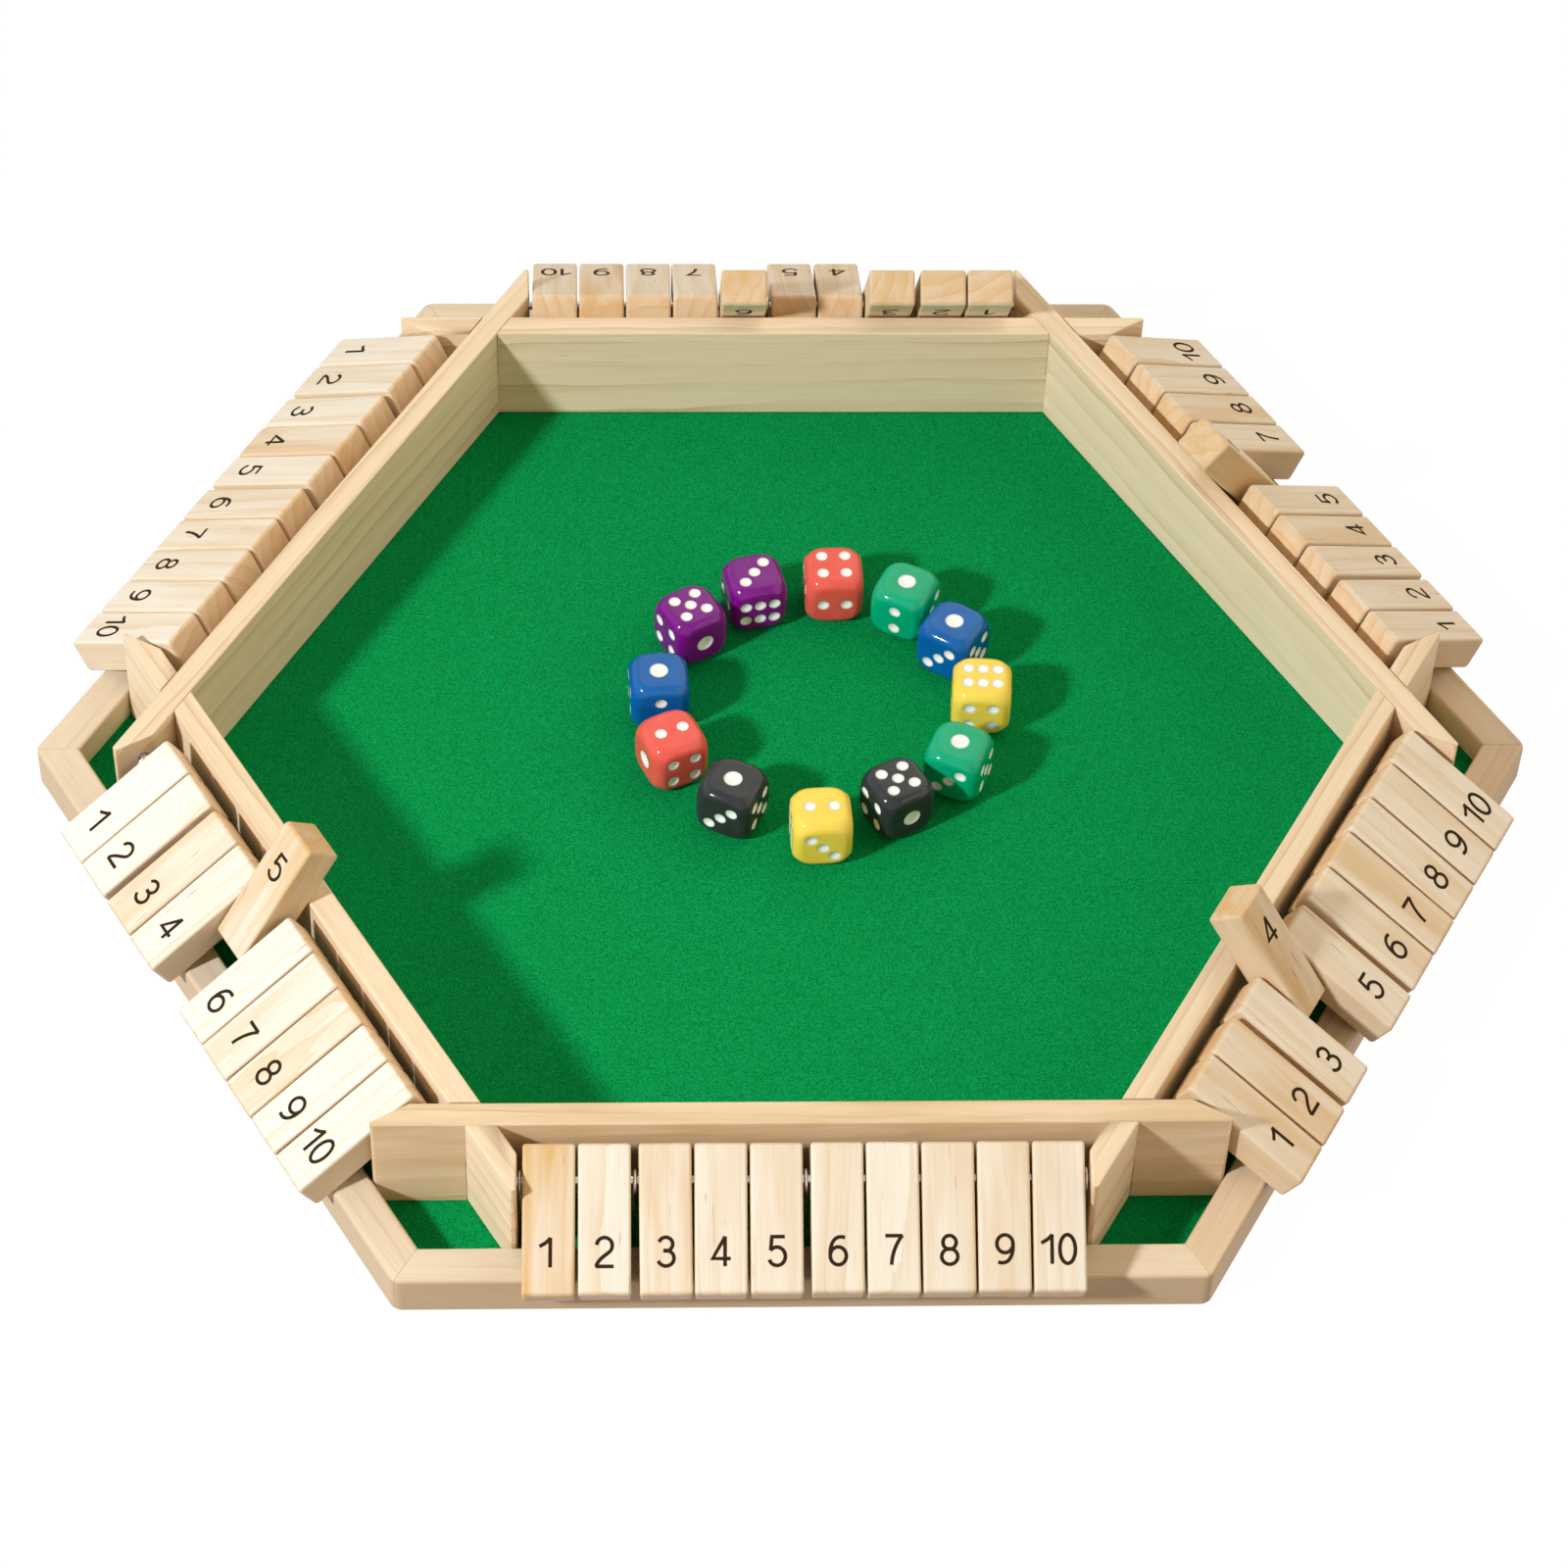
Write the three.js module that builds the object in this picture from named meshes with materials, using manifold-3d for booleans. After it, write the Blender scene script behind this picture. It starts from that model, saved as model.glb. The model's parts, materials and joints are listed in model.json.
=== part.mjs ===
// Shut the box game for six players.
// A six-sided felt-covered board has a low mitred rail round it and six lapped
// wall boards inside it. Between each wall board and the rail lies a bay with a
// steel rod, and ten wooden tiles turn on each rod: open ones slope outwards and
// rest on the rail, shut ones lean inwards on the wall. Twelve dice stand on the felt.
// Millimetres, +Z up. The origin is at the middle of the underside, the board's
// corners point along X and its front row faces -Y.

import * as THREE from 'three';
import { mergeVertices } from 'three/addons/utils/BufferGeometryUtils.js';
import { RoundedBoxGeometry } from 'three/addons/geometries/RoundedBoxGeometry.js';
import Module from 'manifold-3d';

const wasm = await Module();
wasm.setup();

// Board
const ACROSS_FLATS = 303;
const RAIL_WIDTH = 9;
const RAIL_HEIGHT = 10.6;
const RAIL_CORNER_RADIUS = 3;
const RAIL_EASED_EDGE = 0.6;
const REBATE_WIDTH = 3.4;
const BASE_THICKNESS = 2;
const FELT_THICKNESS = 0.8;

// Wall boards
const WALL_THICKNESS = 6;
const WALL_HEIGHT = 27.8;
const BAY_DEPTH = 17.5;

// Numbered tiles
const TILE_COUNT = 10;
const TILE_LENGTH = 33;
const TILE_WIDTH = 11.2;
const TILE_THICKNESS = 9;
const TILE_EASED_EDGE = 1.1;
const TILE_GAP = 0.6;
const WIDE_GAP = 1.7;
const WIDE_GAP_AFTER_TILES = [2, 5];
const ROW_END_ROOM = 1.2;
const TILE_PLAY = 0.24;

// Rods
const ROD_DIAMETER = 2;
const ROD_CLEARANCE = 0.3;
const ROD_FROM_WALL = 10.4;
const ROD_BELOW_WALL_TOP = 6;
const ROD_FROM_TILE_END = 7.5;
const ROD_SOCKET_DEPTH = 3;

// Dice
const DIE_SIZE = 14;
const DIE_EDGE_RADIUS = 2.2;
const PIP_DIAMETER = 2.9;
const ONE_PIP_DIAMETER = 4.4;
const PIP_DEPTH = 0.5;
const PIP_SPACING = 2.8;
const DICE_APART = 5.67;
const DICE_RING_X = 8.4;
const DICE_RING_Y = 14.3;

// Running and seating clearance, and the overrun of every cutting body
const FIT_GAP = 0.3;
const OVERRUN = 5;

// Facets of round forms
const ROD_SIDES = 8;
const PIP_SIDES = 6;
const CORNER_STEPS = 3;
const DIE_EDGE_STEPS = 2;

const SIDES = 6;
const SIDE_ANGLE = (2 * Math.PI) / SIDES;

// Apothems, measured from the middle of the board to faces that run along a side
const RAIL_OUTER = ACROSS_FLATS / 2;
const RAIL_INNER = RAIL_OUTER - RAIL_WIDTH;
const WALL_OUTER = RAIL_INNER - BAY_DEPTH;
const WALL_INNER = WALL_OUTER - WALL_THICKNESS;
const ROD_APOTHEM = WALL_OUTER + ROD_FROM_WALL;

// Heights above the underside
const FELT_TOP = BASE_THICKNESS + FELT_THICKNESS;
const WALL_BOTTOM = FELT_TOP + FIT_GAP;
const WALL_TOP = FELT_TOP + WALL_HEIGHT;
const ROD_HEIGHT = WALL_TOP - ROD_BELOW_WALL_TOP;
const LAP_HEIGHT = (WALL_BOTTOM + WALL_TOP) / 2;
const REBATE_TOP = FELT_TOP + FIT_GAP;

const PINE = { color: 0xf0e0c6, roughness: 0.62, metalness: 0 };
const WARM_PINE = { color: 0xe4c8a0, roughness: 0.6, metalness: 0 };
const WALL_PINE = { color: 0xe9d2ae, roughness: 0.6, metalness: 0 };
const PLYWOOD = { color: 0xd8bd92, roughness: 0.7, metalness: 0 };
const FELT_GREEN = { color: 0x0f8542, roughness: 0.97, metalness: 0 };
const STEEL = { color: 0xbfc1c2, roughness: 0.3, metalness: 1 };
const DIE_COLOURS = {
  purple: 0x6e1478,
  red: 0xe1554b,
  teal: 0x14966e,
  blue: 0x1955aa,
  yellow: 0xf5cd32,
  black: 0x282a32,
};

// The six rows. A turn is counted in sides from the front row, anticlockwise from
// above. The tiles in rodTiles are fixed to the row's rod and turn with it. Its
// slidShare is how far its tiles have slid towards the last one, of the way they can.
const ALL_TILES = Array.from({ length: TILE_COUNT }, (_, index) => index + 1);
const ROWS = [
  { name: 'front', turn: 0, slidShare: 0, shut: [], rodTiles: [] },
  { name: 'front_right', turn: 1, slidShare: 0, shut: [4], rodTiles: [10] },
  { name: 'back_right', turn: 2, slidShare: 0, shut: [6], rodTiles: without(ALL_TILES, [6]) },
  { name: 'back', turn: 3, slidShare: 0.3, shut: [1, 2, 3, 6], rodTiles: without(ALL_TILES, [1, 2, 3, 6]) },
  { name: 'back_left', turn: 4, slidShare: 0, shut: [], rodTiles: ALL_TILES },
  { name: 'front_left', turn: 5, slidShare: 0.9, shut: [5], rodTiles: [10] },
];

// The dice, as they lie in their ring: place round the ring and heading in degrees,
// distance from the ring's middle as a share of its radius, and the numbers on the
// top and front faces.
const DICE = [
  { name: 'purple_a', place: 140, reachShare: 1.03, heading: 30, top: 5, front: 1 },
  { name: 'purple_b', place: 112, reachShare: 1.02, heading: 12, top: 3, front: 6 },
  { name: 'red_a', place: 83, reachShare: 1.02, heading: 2, top: 4, front: 2 },
  { name: 'teal_a', place: 56, reachShare: 1.04, heading: -26, top: 1, front: 2 },
  { name: 'blue_a', place: 31, reachShare: 1.01, heading: -33, top: 1, front: 3 },
  { name: 'yellow_a', place: 3, reachShare: 1.02, heading: -4, top: 6, front: 4 },
  { name: 'teal_b', place: -30, reachShare: 0.98, heading: -23, top: 1, front: 3 },
  { name: 'black_a', place: -60, reachShare: 0.91, heading: 28, top: 5, front: 1 },
  { name: 'yellow_b', place: -91, reachShare: 1.01, heading: 3, top: 2, front: 3 },
  { name: 'black_b', place: -125, reachShare: 0.96, heading: -26, top: 1, front: 3 },
  { name: 'red_b', place: -157, reachShare: 1, heading: 25, top: 2, front: 4 },
  { name: 'blue_b', place: 174, reachShare: 1, heading: 4, top: 1, front: 2 },
];

// Outward directions of the numbers on a die. Opposite numbers add up to seven.
const FACE_NORMALS = {
  1: [0, 0, 1],
  2: [-1, 0, 0],
  3: [0, -1, 0],
  4: [0, 1, 0],
  5: [1, 0, 0],
  6: [0, 0, -1],
};

// The six stands in two rows of three, a little closer to each other and longer than the other patterns.
const SIX_ROW = 0.8;
const SIX_END = 1.25;

// Pip places on a face, in steps of the pip spacing.
const PIP_STEPS = {
  1: [[0, 0]],
  2: [[0, -1], [0, 1]],
  3: [[-1, -1], [0, 0], [1, 1]],
  4: [[-1, -1], [-1, 1], [1, -1], [1, 1]],
  5: [[-1, -1], [-1, 1], [0, 0], [1, -1], [1, 1]],
  6: [-SIX_ROW, SIX_ROW].flatMap((row) => [[row, -SIX_END], [row, 0], [row, SIX_END]]),
};

function without(numbers, leftOut) {
  return numbers.filter((number) => !leftOut.includes(number));
}

// A closed three.js geometry as a solid that can be cut and joined
function solidOf(geometry) {
  const bare = new THREE.BufferGeometry();
  bare.setAttribute('position', geometry.getAttribute('position').clone());
  if (geometry.index) bare.setIndex(geometry.index.clone());
  const merged = mergeVertices(bare);
  const mesh = new wasm.Mesh({
    numProp: 3,
    vertProperties: merged.getAttribute('position').array,
    triVerts: new Uint32Array(merged.index.array),
  });
  return new wasm.Manifold(mesh);
}

function geometryOf(solid) {
  const mesh = solid.getMesh();
  const geometry = new THREE.BufferGeometry();
  geometry.setAttribute('position', new THREE.BufferAttribute(mesh.vertProperties, 3));
  geometry.setIndex(new THREE.BufferAttribute(mesh.triVerts, 1));
  geometry.computeVertexNormals();
  return geometry;
}

function joined(solids) {
  return solids.reduce((whole, solid) => whole.add(solid));
}

function cut(solid, tools) {
  return tools.reduce((rest, tool) => rest.subtract(tool), solid);
}

function namedMesh(name, geometry, finish) {
  const mesh = new THREE.Mesh(geometry, new THREE.MeshStandardMaterial(finish));
  mesh.name = name;
  return mesh;
}

// A box between two opposite corners
function boxBetween(low, high) {
  const size = high.map((value, axis) => value - low[axis]);
  const middle = high.map((value, axis) => (value + low[axis]) / 2);
  return new THREE.BoxGeometry(...size).translate(...middle);
}

// A round bar along X between two places
function barAlongX(startX, endX, radius, y, z) {
  const bar = new THREE.CylinderGeometry(radius, radius, endX - startX, ROD_SIDES);
  return bar.rotateZ(-Math.PI / 2).translate((startX + endX) / 2, y, z);
}

// A six-sided outline with flats along X, its corners rounded where a radius is given
function hexagon(apothem, cornerRadius) {
  const shape = new THREE.Shape();
  const cornerReach = (apothem - cornerRadius) / Math.cos(SIDE_ANGLE / 2);
  for (let corner = 0; corner < SIDES; corner += 1) {
    const angle = corner * SIDE_ANGLE;
    const x = cornerReach * Math.cos(angle);
    const y = cornerReach * Math.sin(angle);
    if (cornerRadius > 0) {
      shape.absarc(x, y, cornerRadius, angle - SIDE_ANGLE / 2, angle + SIDE_ANGLE / 2);
    } else if (corner === 0) {
      shape.moveTo(x, y);
    } else {
      shape.lineTo(x, y);
    }
  }
  return shape;
}

function hexagonPrism(apothem, bottom, top) {
  const options = { depth: top - bottom, bevelEnabled: false };
  return new THREE.ExtrudeGeometry(hexagon(apothem, 0), options).translate(0, 0, bottom);
}

function railBlank() {
  const options = {
    depth: RAIL_HEIGHT - 2 * RAIL_EASED_EDGE,
    bevelThickness: RAIL_EASED_EDGE,
    bevelSize: RAIL_EASED_EDGE,
    bevelOffset: -RAIL_EASED_EDGE,
    bevelSegments: 1,
    curveSegments: CORNER_STEPS,
  };
  const blank = new THREE.ExtrudeGeometry(hexagon(RAIL_OUTER, RAIL_CORNER_RADIUS), options);
  return blank.translate(0, 0, RAIL_EASED_EDGE);
}

// The rail: six mitred lengths glued into one frame, rebated below for the base
function rail() {
  const opening = hexagonPrism(RAIL_INNER, -OVERRUN, RAIL_HEIGHT + OVERRUN);
  const rebate = hexagonPrism(RAIL_INNER + REBATE_WIDTH, -OVERRUN, REBATE_TOP);
  return geometryOf(cut(solidOf(railBlank()), [solidOf(opening), solidOf(rebate)]));
}

function basePanel() {
  return hexagonPrism(RAIL_INNER + REBATE_WIDTH - FIT_GAP, 0, BASE_THICKNESS);
}

function feltSheet() {
  return hexagonPrism(RAIL_INNER + REBATE_WIDTH - FIT_GAP, BASE_THICKNESS, FELT_TOP);
}

// Middle of each evenly spaced tile along its row, the wider gaps included
const TILE_CENTRES = (() => {
  const centres = [TILE_WIDTH / 2];
  for (let number = 1; number < TILE_COUNT; number += 1) {
    const gap = WIDE_GAP_AFTER_TILES.includes(number) ? WIDE_GAP : TILE_GAP;
    centres.push(centres[number - 1] + TILE_WIDTH + gap);
  }
  const rowMiddle = (centres[0] + centres[TILE_COUNT - 1]) / 2;
  return centres.map((centre) => centre - rowMiddle);
})();
const BAY_HALF_LENGTH = TILE_CENTRES[TILE_COUNT - 1] + TILE_WIDTH / 2 + ROW_END_ROOM;
const ROD_HALF_LENGTH = BAY_HALF_LENGTH + ROD_SOCKET_DEPTH - FIT_GAP;

// A solid of one side's frame, turned to the side that lies so many steps round
function onSide(geometry, steps) {
  return solidOf(geometry.rotateZ(steps * SIDE_ANGLE));
}

function bayBlock() {
  return boxBetween(
    [-BAY_HALF_LENGTH, -RAIL_OUTER, -OVERRUN],
    [BAY_HALF_LENGTH, -WALL_OUTER, WALL_TOP + OVERRUN],
  );
}

// The space that a crossing board takes, from one height to another
function crossingSlab(bottom, top) {
  return boxBetween(
    [-ACROSS_FLATS, -WALL_OUTER - FIT_GAP / 2, bottom],
    [ACROSS_FLATS, -WALL_INNER + FIT_GAP / 2, top],
  );
}

function rodSocket(sense) {
  const ends = [BAY_HALF_LENGTH - OVERRUN, BAY_HALF_LENGTH + ROD_SOCKET_DEPTH];
  const [start, end] = ends.map((x) => sense * x).sort((a, b) => a - b);
  return barAlongX(start, end, ROD_DIAMETER / 2 + ROD_CLEARANCE, -ROD_APOTHEM, ROD_HEIGHT);
}

// A wall board, in the frame of its own side. It runs past both corners to the rail,
// its ends are shaved flat beside the neighbouring rows and hold their rods, and it
// laps over or under the two boards that cross it.
function wallBoard(lapsOver) {
  const plank = boxBetween(
    [-ACROSS_FLATS, -WALL_OUTER, WALL_BOTTOM],
    [ACROSS_FLATS, -WALL_INNER, WALL_TOP],
  );
  const room = hexagonPrism(RAIL_INNER - FIT_GAP, -OVERRUN, WALL_TOP + OVERRUN);
  const notchBottom = lapsOver ? -OVERRUN : LAP_HEIGHT - FIT_GAP / 2;
  const notchTop = lapsOver ? LAP_HEIGHT + FIT_GAP / 2 : WALL_TOP + OVERRUN;
  const tools = [-1, 1].flatMap((side) => [
    onSide(bayBlock(), side),
    onSide(crossingSlab(notchBottom, notchTop), side),
    onSide(rodSocket(-side), side),
  ]);
  return geometryOf(cut(solidOf(plank).intersect(solidOf(room)), tools));
}

// The side view of a tile, its long axis along X with the rod at the origin
function tileProfile() {
  const inner = ROD_FROM_TILE_END;
  const outer = ROD_FROM_TILE_END - TILE_LENGTH;
  const half = TILE_THICKNESS / 2;
  const ease = TILE_EASED_EDGE;
  const shape = new THREE.Shape();
  shape.moveTo(outer + ease, -half);
  shape.lineTo(inner - ease, -half);
  shape.lineTo(inner, -half + ease);
  shape.lineTo(inner, half - ease);
  shape.lineTo(inner - ease, half);
  shape.lineTo(outer + ease, half);
  shape.lineTo(outer, half - ease);
  shape.lineTo(outer, -half + ease);
  shape.closePath();
  return shape;
}

// Middle of a tile along its rod, after it slid as far as the later tiles let it
function tilePlace(number, row) {
  const play = ROW_END_ROOM - FIT_GAP + (TILE_COUNT - number) * TILE_PLAY;
  return TILE_CENTRES[number - 1] + row.slidShare * play;
}

// A tile block before boring, in the frame of its rod: the free end points to -Y
function tileBlock(number, row) {
  const options = {
    depth: TILE_WIDTH - TILE_EASED_EDGE,
    bevelThickness: TILE_EASED_EDGE / 2,
    bevelSize: TILE_EASED_EDGE / 2,
    bevelOffset: -TILE_EASED_EDGE / 2,
    bevelSegments: 1,
  };
  const block = new THREE.ExtrudeGeometry(tileProfile(), options);
  block.translate(0, 0, (TILE_EASED_EDGE - TILE_WIDTH) / 2);
  const lengthAlongY = new THREE.Matrix4().makeBasis(
    new THREE.Vector3(0, 1, 0),
    new THREE.Vector3(0, 0, 1),
    new THREE.Vector3(1, 0, 0),
  );
  return block.applyMatrix4(lengthAlongY).translate(tilePlace(number, row), 0, 0);
}

function rodBar() {
  return barAlongX(-ROD_HALF_LENGTH, ROD_HALF_LENGTH, ROD_DIAMETER / 2, 0, 0);
}

function boredTile(number, row) {
  const reach = ROD_HALF_LENGTH + OVERRUN;
  const bore = barAlongX(-reach, reach, ROD_DIAMETER / 2 + ROD_CLEARANCE, 0, 0);
  return geometryOf(cut(solidOf(tileBlock(number, row)), [solidOf(bore)]));
}

function rodWithTiles(row) {
  const tiles = row.rodTiles.map((number) => solidOf(tileBlock(number, row)));
  return geometryOf(joined([solidOf(rodBar()), ...tiles]));
}

// Slope of an open tile, whose underside rests on the rail's outer top edge
function openSlope() {
  const across = RAIL_OUTER - ROD_APOTHEM;
  const drop = ROD_HEIGHT - RAIL_HEIGHT;
  const seat = TILE_THICKNESS / 2 + FIT_GAP;
  return Math.acos(seat / Math.hypot(across, drop)) - Math.atan2(across, drop);
}

// Rise of a shut tile above level, leaning inwards on the wall's outer top edge
function shutRise() {
  const seat = TILE_THICKNESS / 2 + FIT_GAP;
  const reach = Math.hypot(ROD_FROM_WALL, ROD_BELOW_WALL_TOP);
  return Math.atan2(ROD_BELOW_WALL_TOP, ROD_FROM_WALL) + Math.asin(seat / reach);
}

// A group at a row's rod, turned about it to the open or the shut place
function rodFrame(isShut) {
  const frame = new THREE.Group();
  frame.position.set(0, -ROD_APOTHEM, ROD_HEIGHT);
  frame.rotation.x = isShut ? shutRise() - Math.PI : openSlope();
  return frame;
}

function tileRow(row) {
  const open = rodFrame(false);
  const shut = rodFrame(true);
  if (row.rodTiles.length > 0) {
    open.add(namedMesh(`rod_${row.name}_with_tiles`, rodWithTiles(row), PINE));
  } else {
    open.add(namedMesh(`rod_${row.name}`, rodBar(), STEEL));
  }
  without(ALL_TILES, row.rodTiles).forEach((number) => {
    const mesh = namedMesh(`tile_${row.name}_${number}`, boredTile(number, row), PINE);
    (row.shut.includes(number) ? shut : open).add(mesh);
  });
  return [open, shut];
}

// One side of the board: its wall board and its row of tiles, turned into place
function side(row) {
  const group = new THREE.Group();
  group.rotation.z = row.turn * SIDE_ANGLE;
  const lapsOver = row.turn % 2 === 0;
  group.add(namedMesh(`wall_${row.name}`, wallBoard(lapsOver), WALL_PINE));
  group.add(...tileRow(row));
  return group;
}

// A shallow dimple on the face whose outward direction is given
function pip(diameter, normal, across, up, steps) {
  const taper = (PIP_DEPTH + OVERRUN) / PIP_DEPTH;
  const cone = new THREE.ConeGeometry((diameter / 2) * taper, PIP_DEPTH + OVERRUN, PIP_SIDES);
  cone.rotateX(-Math.PI / 2).translate(0, 0, (OVERRUN - PIP_DEPTH) / 2);
  const toFace = new THREE.Matrix4().makeBasis(across, up, normal);
  const place = normal.clone().multiplyScalar(DIE_SIZE / 2);
  place.addScaledVector(across, steps[0] * PIP_SPACING);
  place.addScaledVector(up, steps[1] * PIP_SPACING);
  return solidOf(cone.applyMatrix4(toFace).translate(place.x, place.y, place.z));
}

function facePips(number) {
  const normal = new THREE.Vector3(...FACE_NORMALS[number]);
  const helper = Math.abs(normal.z) > 0 ? new THREE.Vector3(1, 0, 0) : new THREE.Vector3(0, 0, 1);
  const across = new THREE.Vector3().crossVectors(helper, normal);
  const up = new THREE.Vector3().crossVectors(normal, across);
  const diameter = number === 1 ? ONE_PIP_DIAMETER : PIP_DIAMETER;
  return PIP_STEPS[number].map((steps) => pip(diameter, normal, across, up, steps));
}

function dieBody() {
  const blank = new RoundedBoxGeometry(DIE_SIZE, DIE_SIZE, DIE_SIZE, DIE_EDGE_STEPS, DIE_EDGE_RADIUS);
  const pips = Object.keys(PIP_STEPS).flatMap((number) => facePips(Number(number)));
  return geometryOf(cut(solidOf(blank), pips));
}

// The turn that brings one number to the top and another to the front
function dieTurn(die) {
  const top = new THREE.Vector3(...FACE_NORMALS[die.top]);
  const front = new THREE.Vector3(...FACE_NORMALS[die.front]);
  const right = new THREE.Vector3().crossVectors(top, front);
  const fromDie = new THREE.Matrix4().makeBasis(top, front, right).transpose();
  const toWorld = new THREE.Matrix4().makeBasis(
    new THREE.Vector3(0, 0, 1),
    new THREE.Vector3(0, -1, 0),
    new THREE.Vector3(1, 0, 0),
  );
  const heading = new THREE.Matrix4().makeRotationZ(THREE.MathUtils.degToRad(die.heading));
  return heading.multiply(toWorld).multiply(fromDie);
}

// Radius of the ring at which neighbouring dice are their own size and a gap apart
function diceRingRadius() {
  return (DIE_SIZE + DICE_APART) / (2 * Math.sin(Math.PI / DICE.length));
}

function dice() {
  const body = dieBody();
  return DICE.map((die) => {
    const colour = DIE_COLOURS[die.name.split('_')[0]];
    const finish = { color: colour, roughness: 0.18, metalness: 0 };
    const mesh = namedMesh(`die_${die.name}`, body, finish);
    const place = THREE.MathUtils.degToRad(die.place);
    const reach = diceRingRadius() * die.reachShare;
    mesh.position.set(
      DICE_RING_X + reach * Math.cos(place),
      DICE_RING_Y + reach * Math.sin(place),
      FELT_TOP + FIT_GAP + DIE_SIZE / 2,
    );
    mesh.quaternion.setFromRotationMatrix(dieTurn(die));
    return mesh;
  });
}

const game = new THREE.Group();
game.add(namedMesh('base_panel', basePanel(), PLYWOOD));
game.add(namedMesh('felt', feltSheet(), FELT_GREEN));
game.add(namedMesh('rail', rail(), WARM_PINE));
game.add(...ROWS.map(side));
game.add(...dice());

export default game;
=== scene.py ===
"""The looks of a six-player shut the box game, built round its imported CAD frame.

Metres, +Z up, in the frame's own axes: the origin is the middle of the underside, two corners of
the six-sided board lie on X, and the front row of tiles faces -Y.
"""

from __future__ import annotations

import json
import logging
import math
from dataclasses import dataclass, field
from enum import Enum

import bmesh
import bpy
import numpy as np
from mathutils import Matrix

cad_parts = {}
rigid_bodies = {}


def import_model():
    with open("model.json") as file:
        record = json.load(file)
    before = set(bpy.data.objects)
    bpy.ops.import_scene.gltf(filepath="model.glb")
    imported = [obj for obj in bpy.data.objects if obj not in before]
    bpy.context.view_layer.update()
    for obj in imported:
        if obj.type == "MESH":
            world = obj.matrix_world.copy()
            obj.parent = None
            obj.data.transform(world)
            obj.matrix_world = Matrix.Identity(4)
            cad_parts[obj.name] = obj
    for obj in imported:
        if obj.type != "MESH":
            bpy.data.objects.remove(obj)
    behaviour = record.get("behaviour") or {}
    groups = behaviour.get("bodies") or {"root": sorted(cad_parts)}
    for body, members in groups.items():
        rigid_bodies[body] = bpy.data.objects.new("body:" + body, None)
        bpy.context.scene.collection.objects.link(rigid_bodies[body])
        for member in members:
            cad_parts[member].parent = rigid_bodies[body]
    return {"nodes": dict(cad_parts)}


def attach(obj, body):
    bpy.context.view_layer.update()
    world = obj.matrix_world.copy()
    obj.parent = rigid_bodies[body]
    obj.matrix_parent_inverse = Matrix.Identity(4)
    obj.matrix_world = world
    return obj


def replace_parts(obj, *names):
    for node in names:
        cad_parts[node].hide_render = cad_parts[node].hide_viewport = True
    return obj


for leftover in list(bpy.data.objects):
    bpy.data.objects.remove(leftover)
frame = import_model()

log = logging.getLogger("shut_the_box")

MM = 0.001
SIDES = 6
SIDE_ANGLE = math.tau / SIDES
MITRE_SLOPE = math.tan(SIDE_ANGLE / 2)
WELD = 1e-7

Colour = tuple[int, int, int]
Faces = list[list[int]]
Range = tuple[float, float]


@dataclass(frozen=True)
class Board:
    """Sizes that the sub-assemblies share, as in the CAD source.

    Apothems run from the middle of the board.
    """

    rail_outer: float = 151.5 * MM
    rail_inner: float = 142.5 * MM
    rail_height: float = 10.6 * MM
    rail_corner: float = 3.0 * MM
    rebate: float = 3.4 * MM
    fit_gap: float = 0.3 * MM
    base_top: float = 2.0 * MM
    felt_top: float = 2.8 * MM
    rod_apothem: float = 135.4 * MM
    rod_height: float = 24.6 * MM
    rod_radius: float = 1.0 * MM
    rod_half_length: float = 63.7 * MM


BOARD = Board()


class Side(Enum):
    """The six sides of the board, by how many steps anticlockwise each lies from the front."""

    FRONT = 0
    FRONT_RIGHT = 1
    BACK_RIGHT = 2
    BACK = 3
    BACK_LEFT = 4
    FRONT_LEFT = 5

    @property
    def label(self) -> str:
        """The side's name as the CAD nodes spell it."""
        return self.name.lower()

    @property
    def turn(self) -> np.ndarray:
        """The matrix that turns the front side's frame to this side."""
        return turned(self.value * SIDE_ANGLE)

    @property
    def rod(self) -> np.ndarray:
        """The matrix from the frame of this side's rod, with the rod along X, to the board's."""
        return self.turn @ shifted(0, -BOARD.rod_apothem, BOARD.rod_height)


class Stance(Enum):
    """How a tile stands on its rod: its tilt in degrees, from level with the free end outwards."""

    OPEN = 28.008
    SHUT = 53.546 - 180.0


def moved(points: np.ndarray, matrix: np.ndarray) -> np.ndarray:
    """Points after a 4 by 4 matrix.

    Args:
        points: An array that ends in three coordinates.
        matrix: The 4 by 4 matrix.

    Returns:
        The points in the same shape.
    """
    return points @ matrix[:3, :3].T + matrix[:3, 3]


def shifted(x: float, y: float, z: float) -> np.ndarray:
    """The matrix that moves by x, y and z."""
    return np.array(Matrix.Translation((x, y, z)))


def turned(angle: float, axis: str = "Z") -> np.ndarray:
    """The matrix that turns by an angle in radians about an axis."""
    return np.array(Matrix.Rotation(angle, 4, axis))


def circle(angle: np.ndarray) -> np.ndarray:
    """The points of a circle of radius 1: the cosine and sine of each angle."""
    return np.stack([np.cos(angle), np.sin(angle)], -1)


def full_turn(count: int) -> np.ndarray:
    """So many even angles all the way round."""
    return np.linspace(0, math.tau, count, endpoint=False)


def linear(colour: Colour) -> tuple[float, float, float, float]:
    """A colour in screen values from 0 to 255 as the linear colour that a shader takes.

    Each value goes through the standard curve: a straight piece near black, then a power of 2.4.
    """
    share = np.array(colour) / 255
    light = np.where(share <= 0.04045, share / 12.92, ((share + 0.055) / 1.055) ** 2.4)
    return (*light.tolist(), 1.0)


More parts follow.
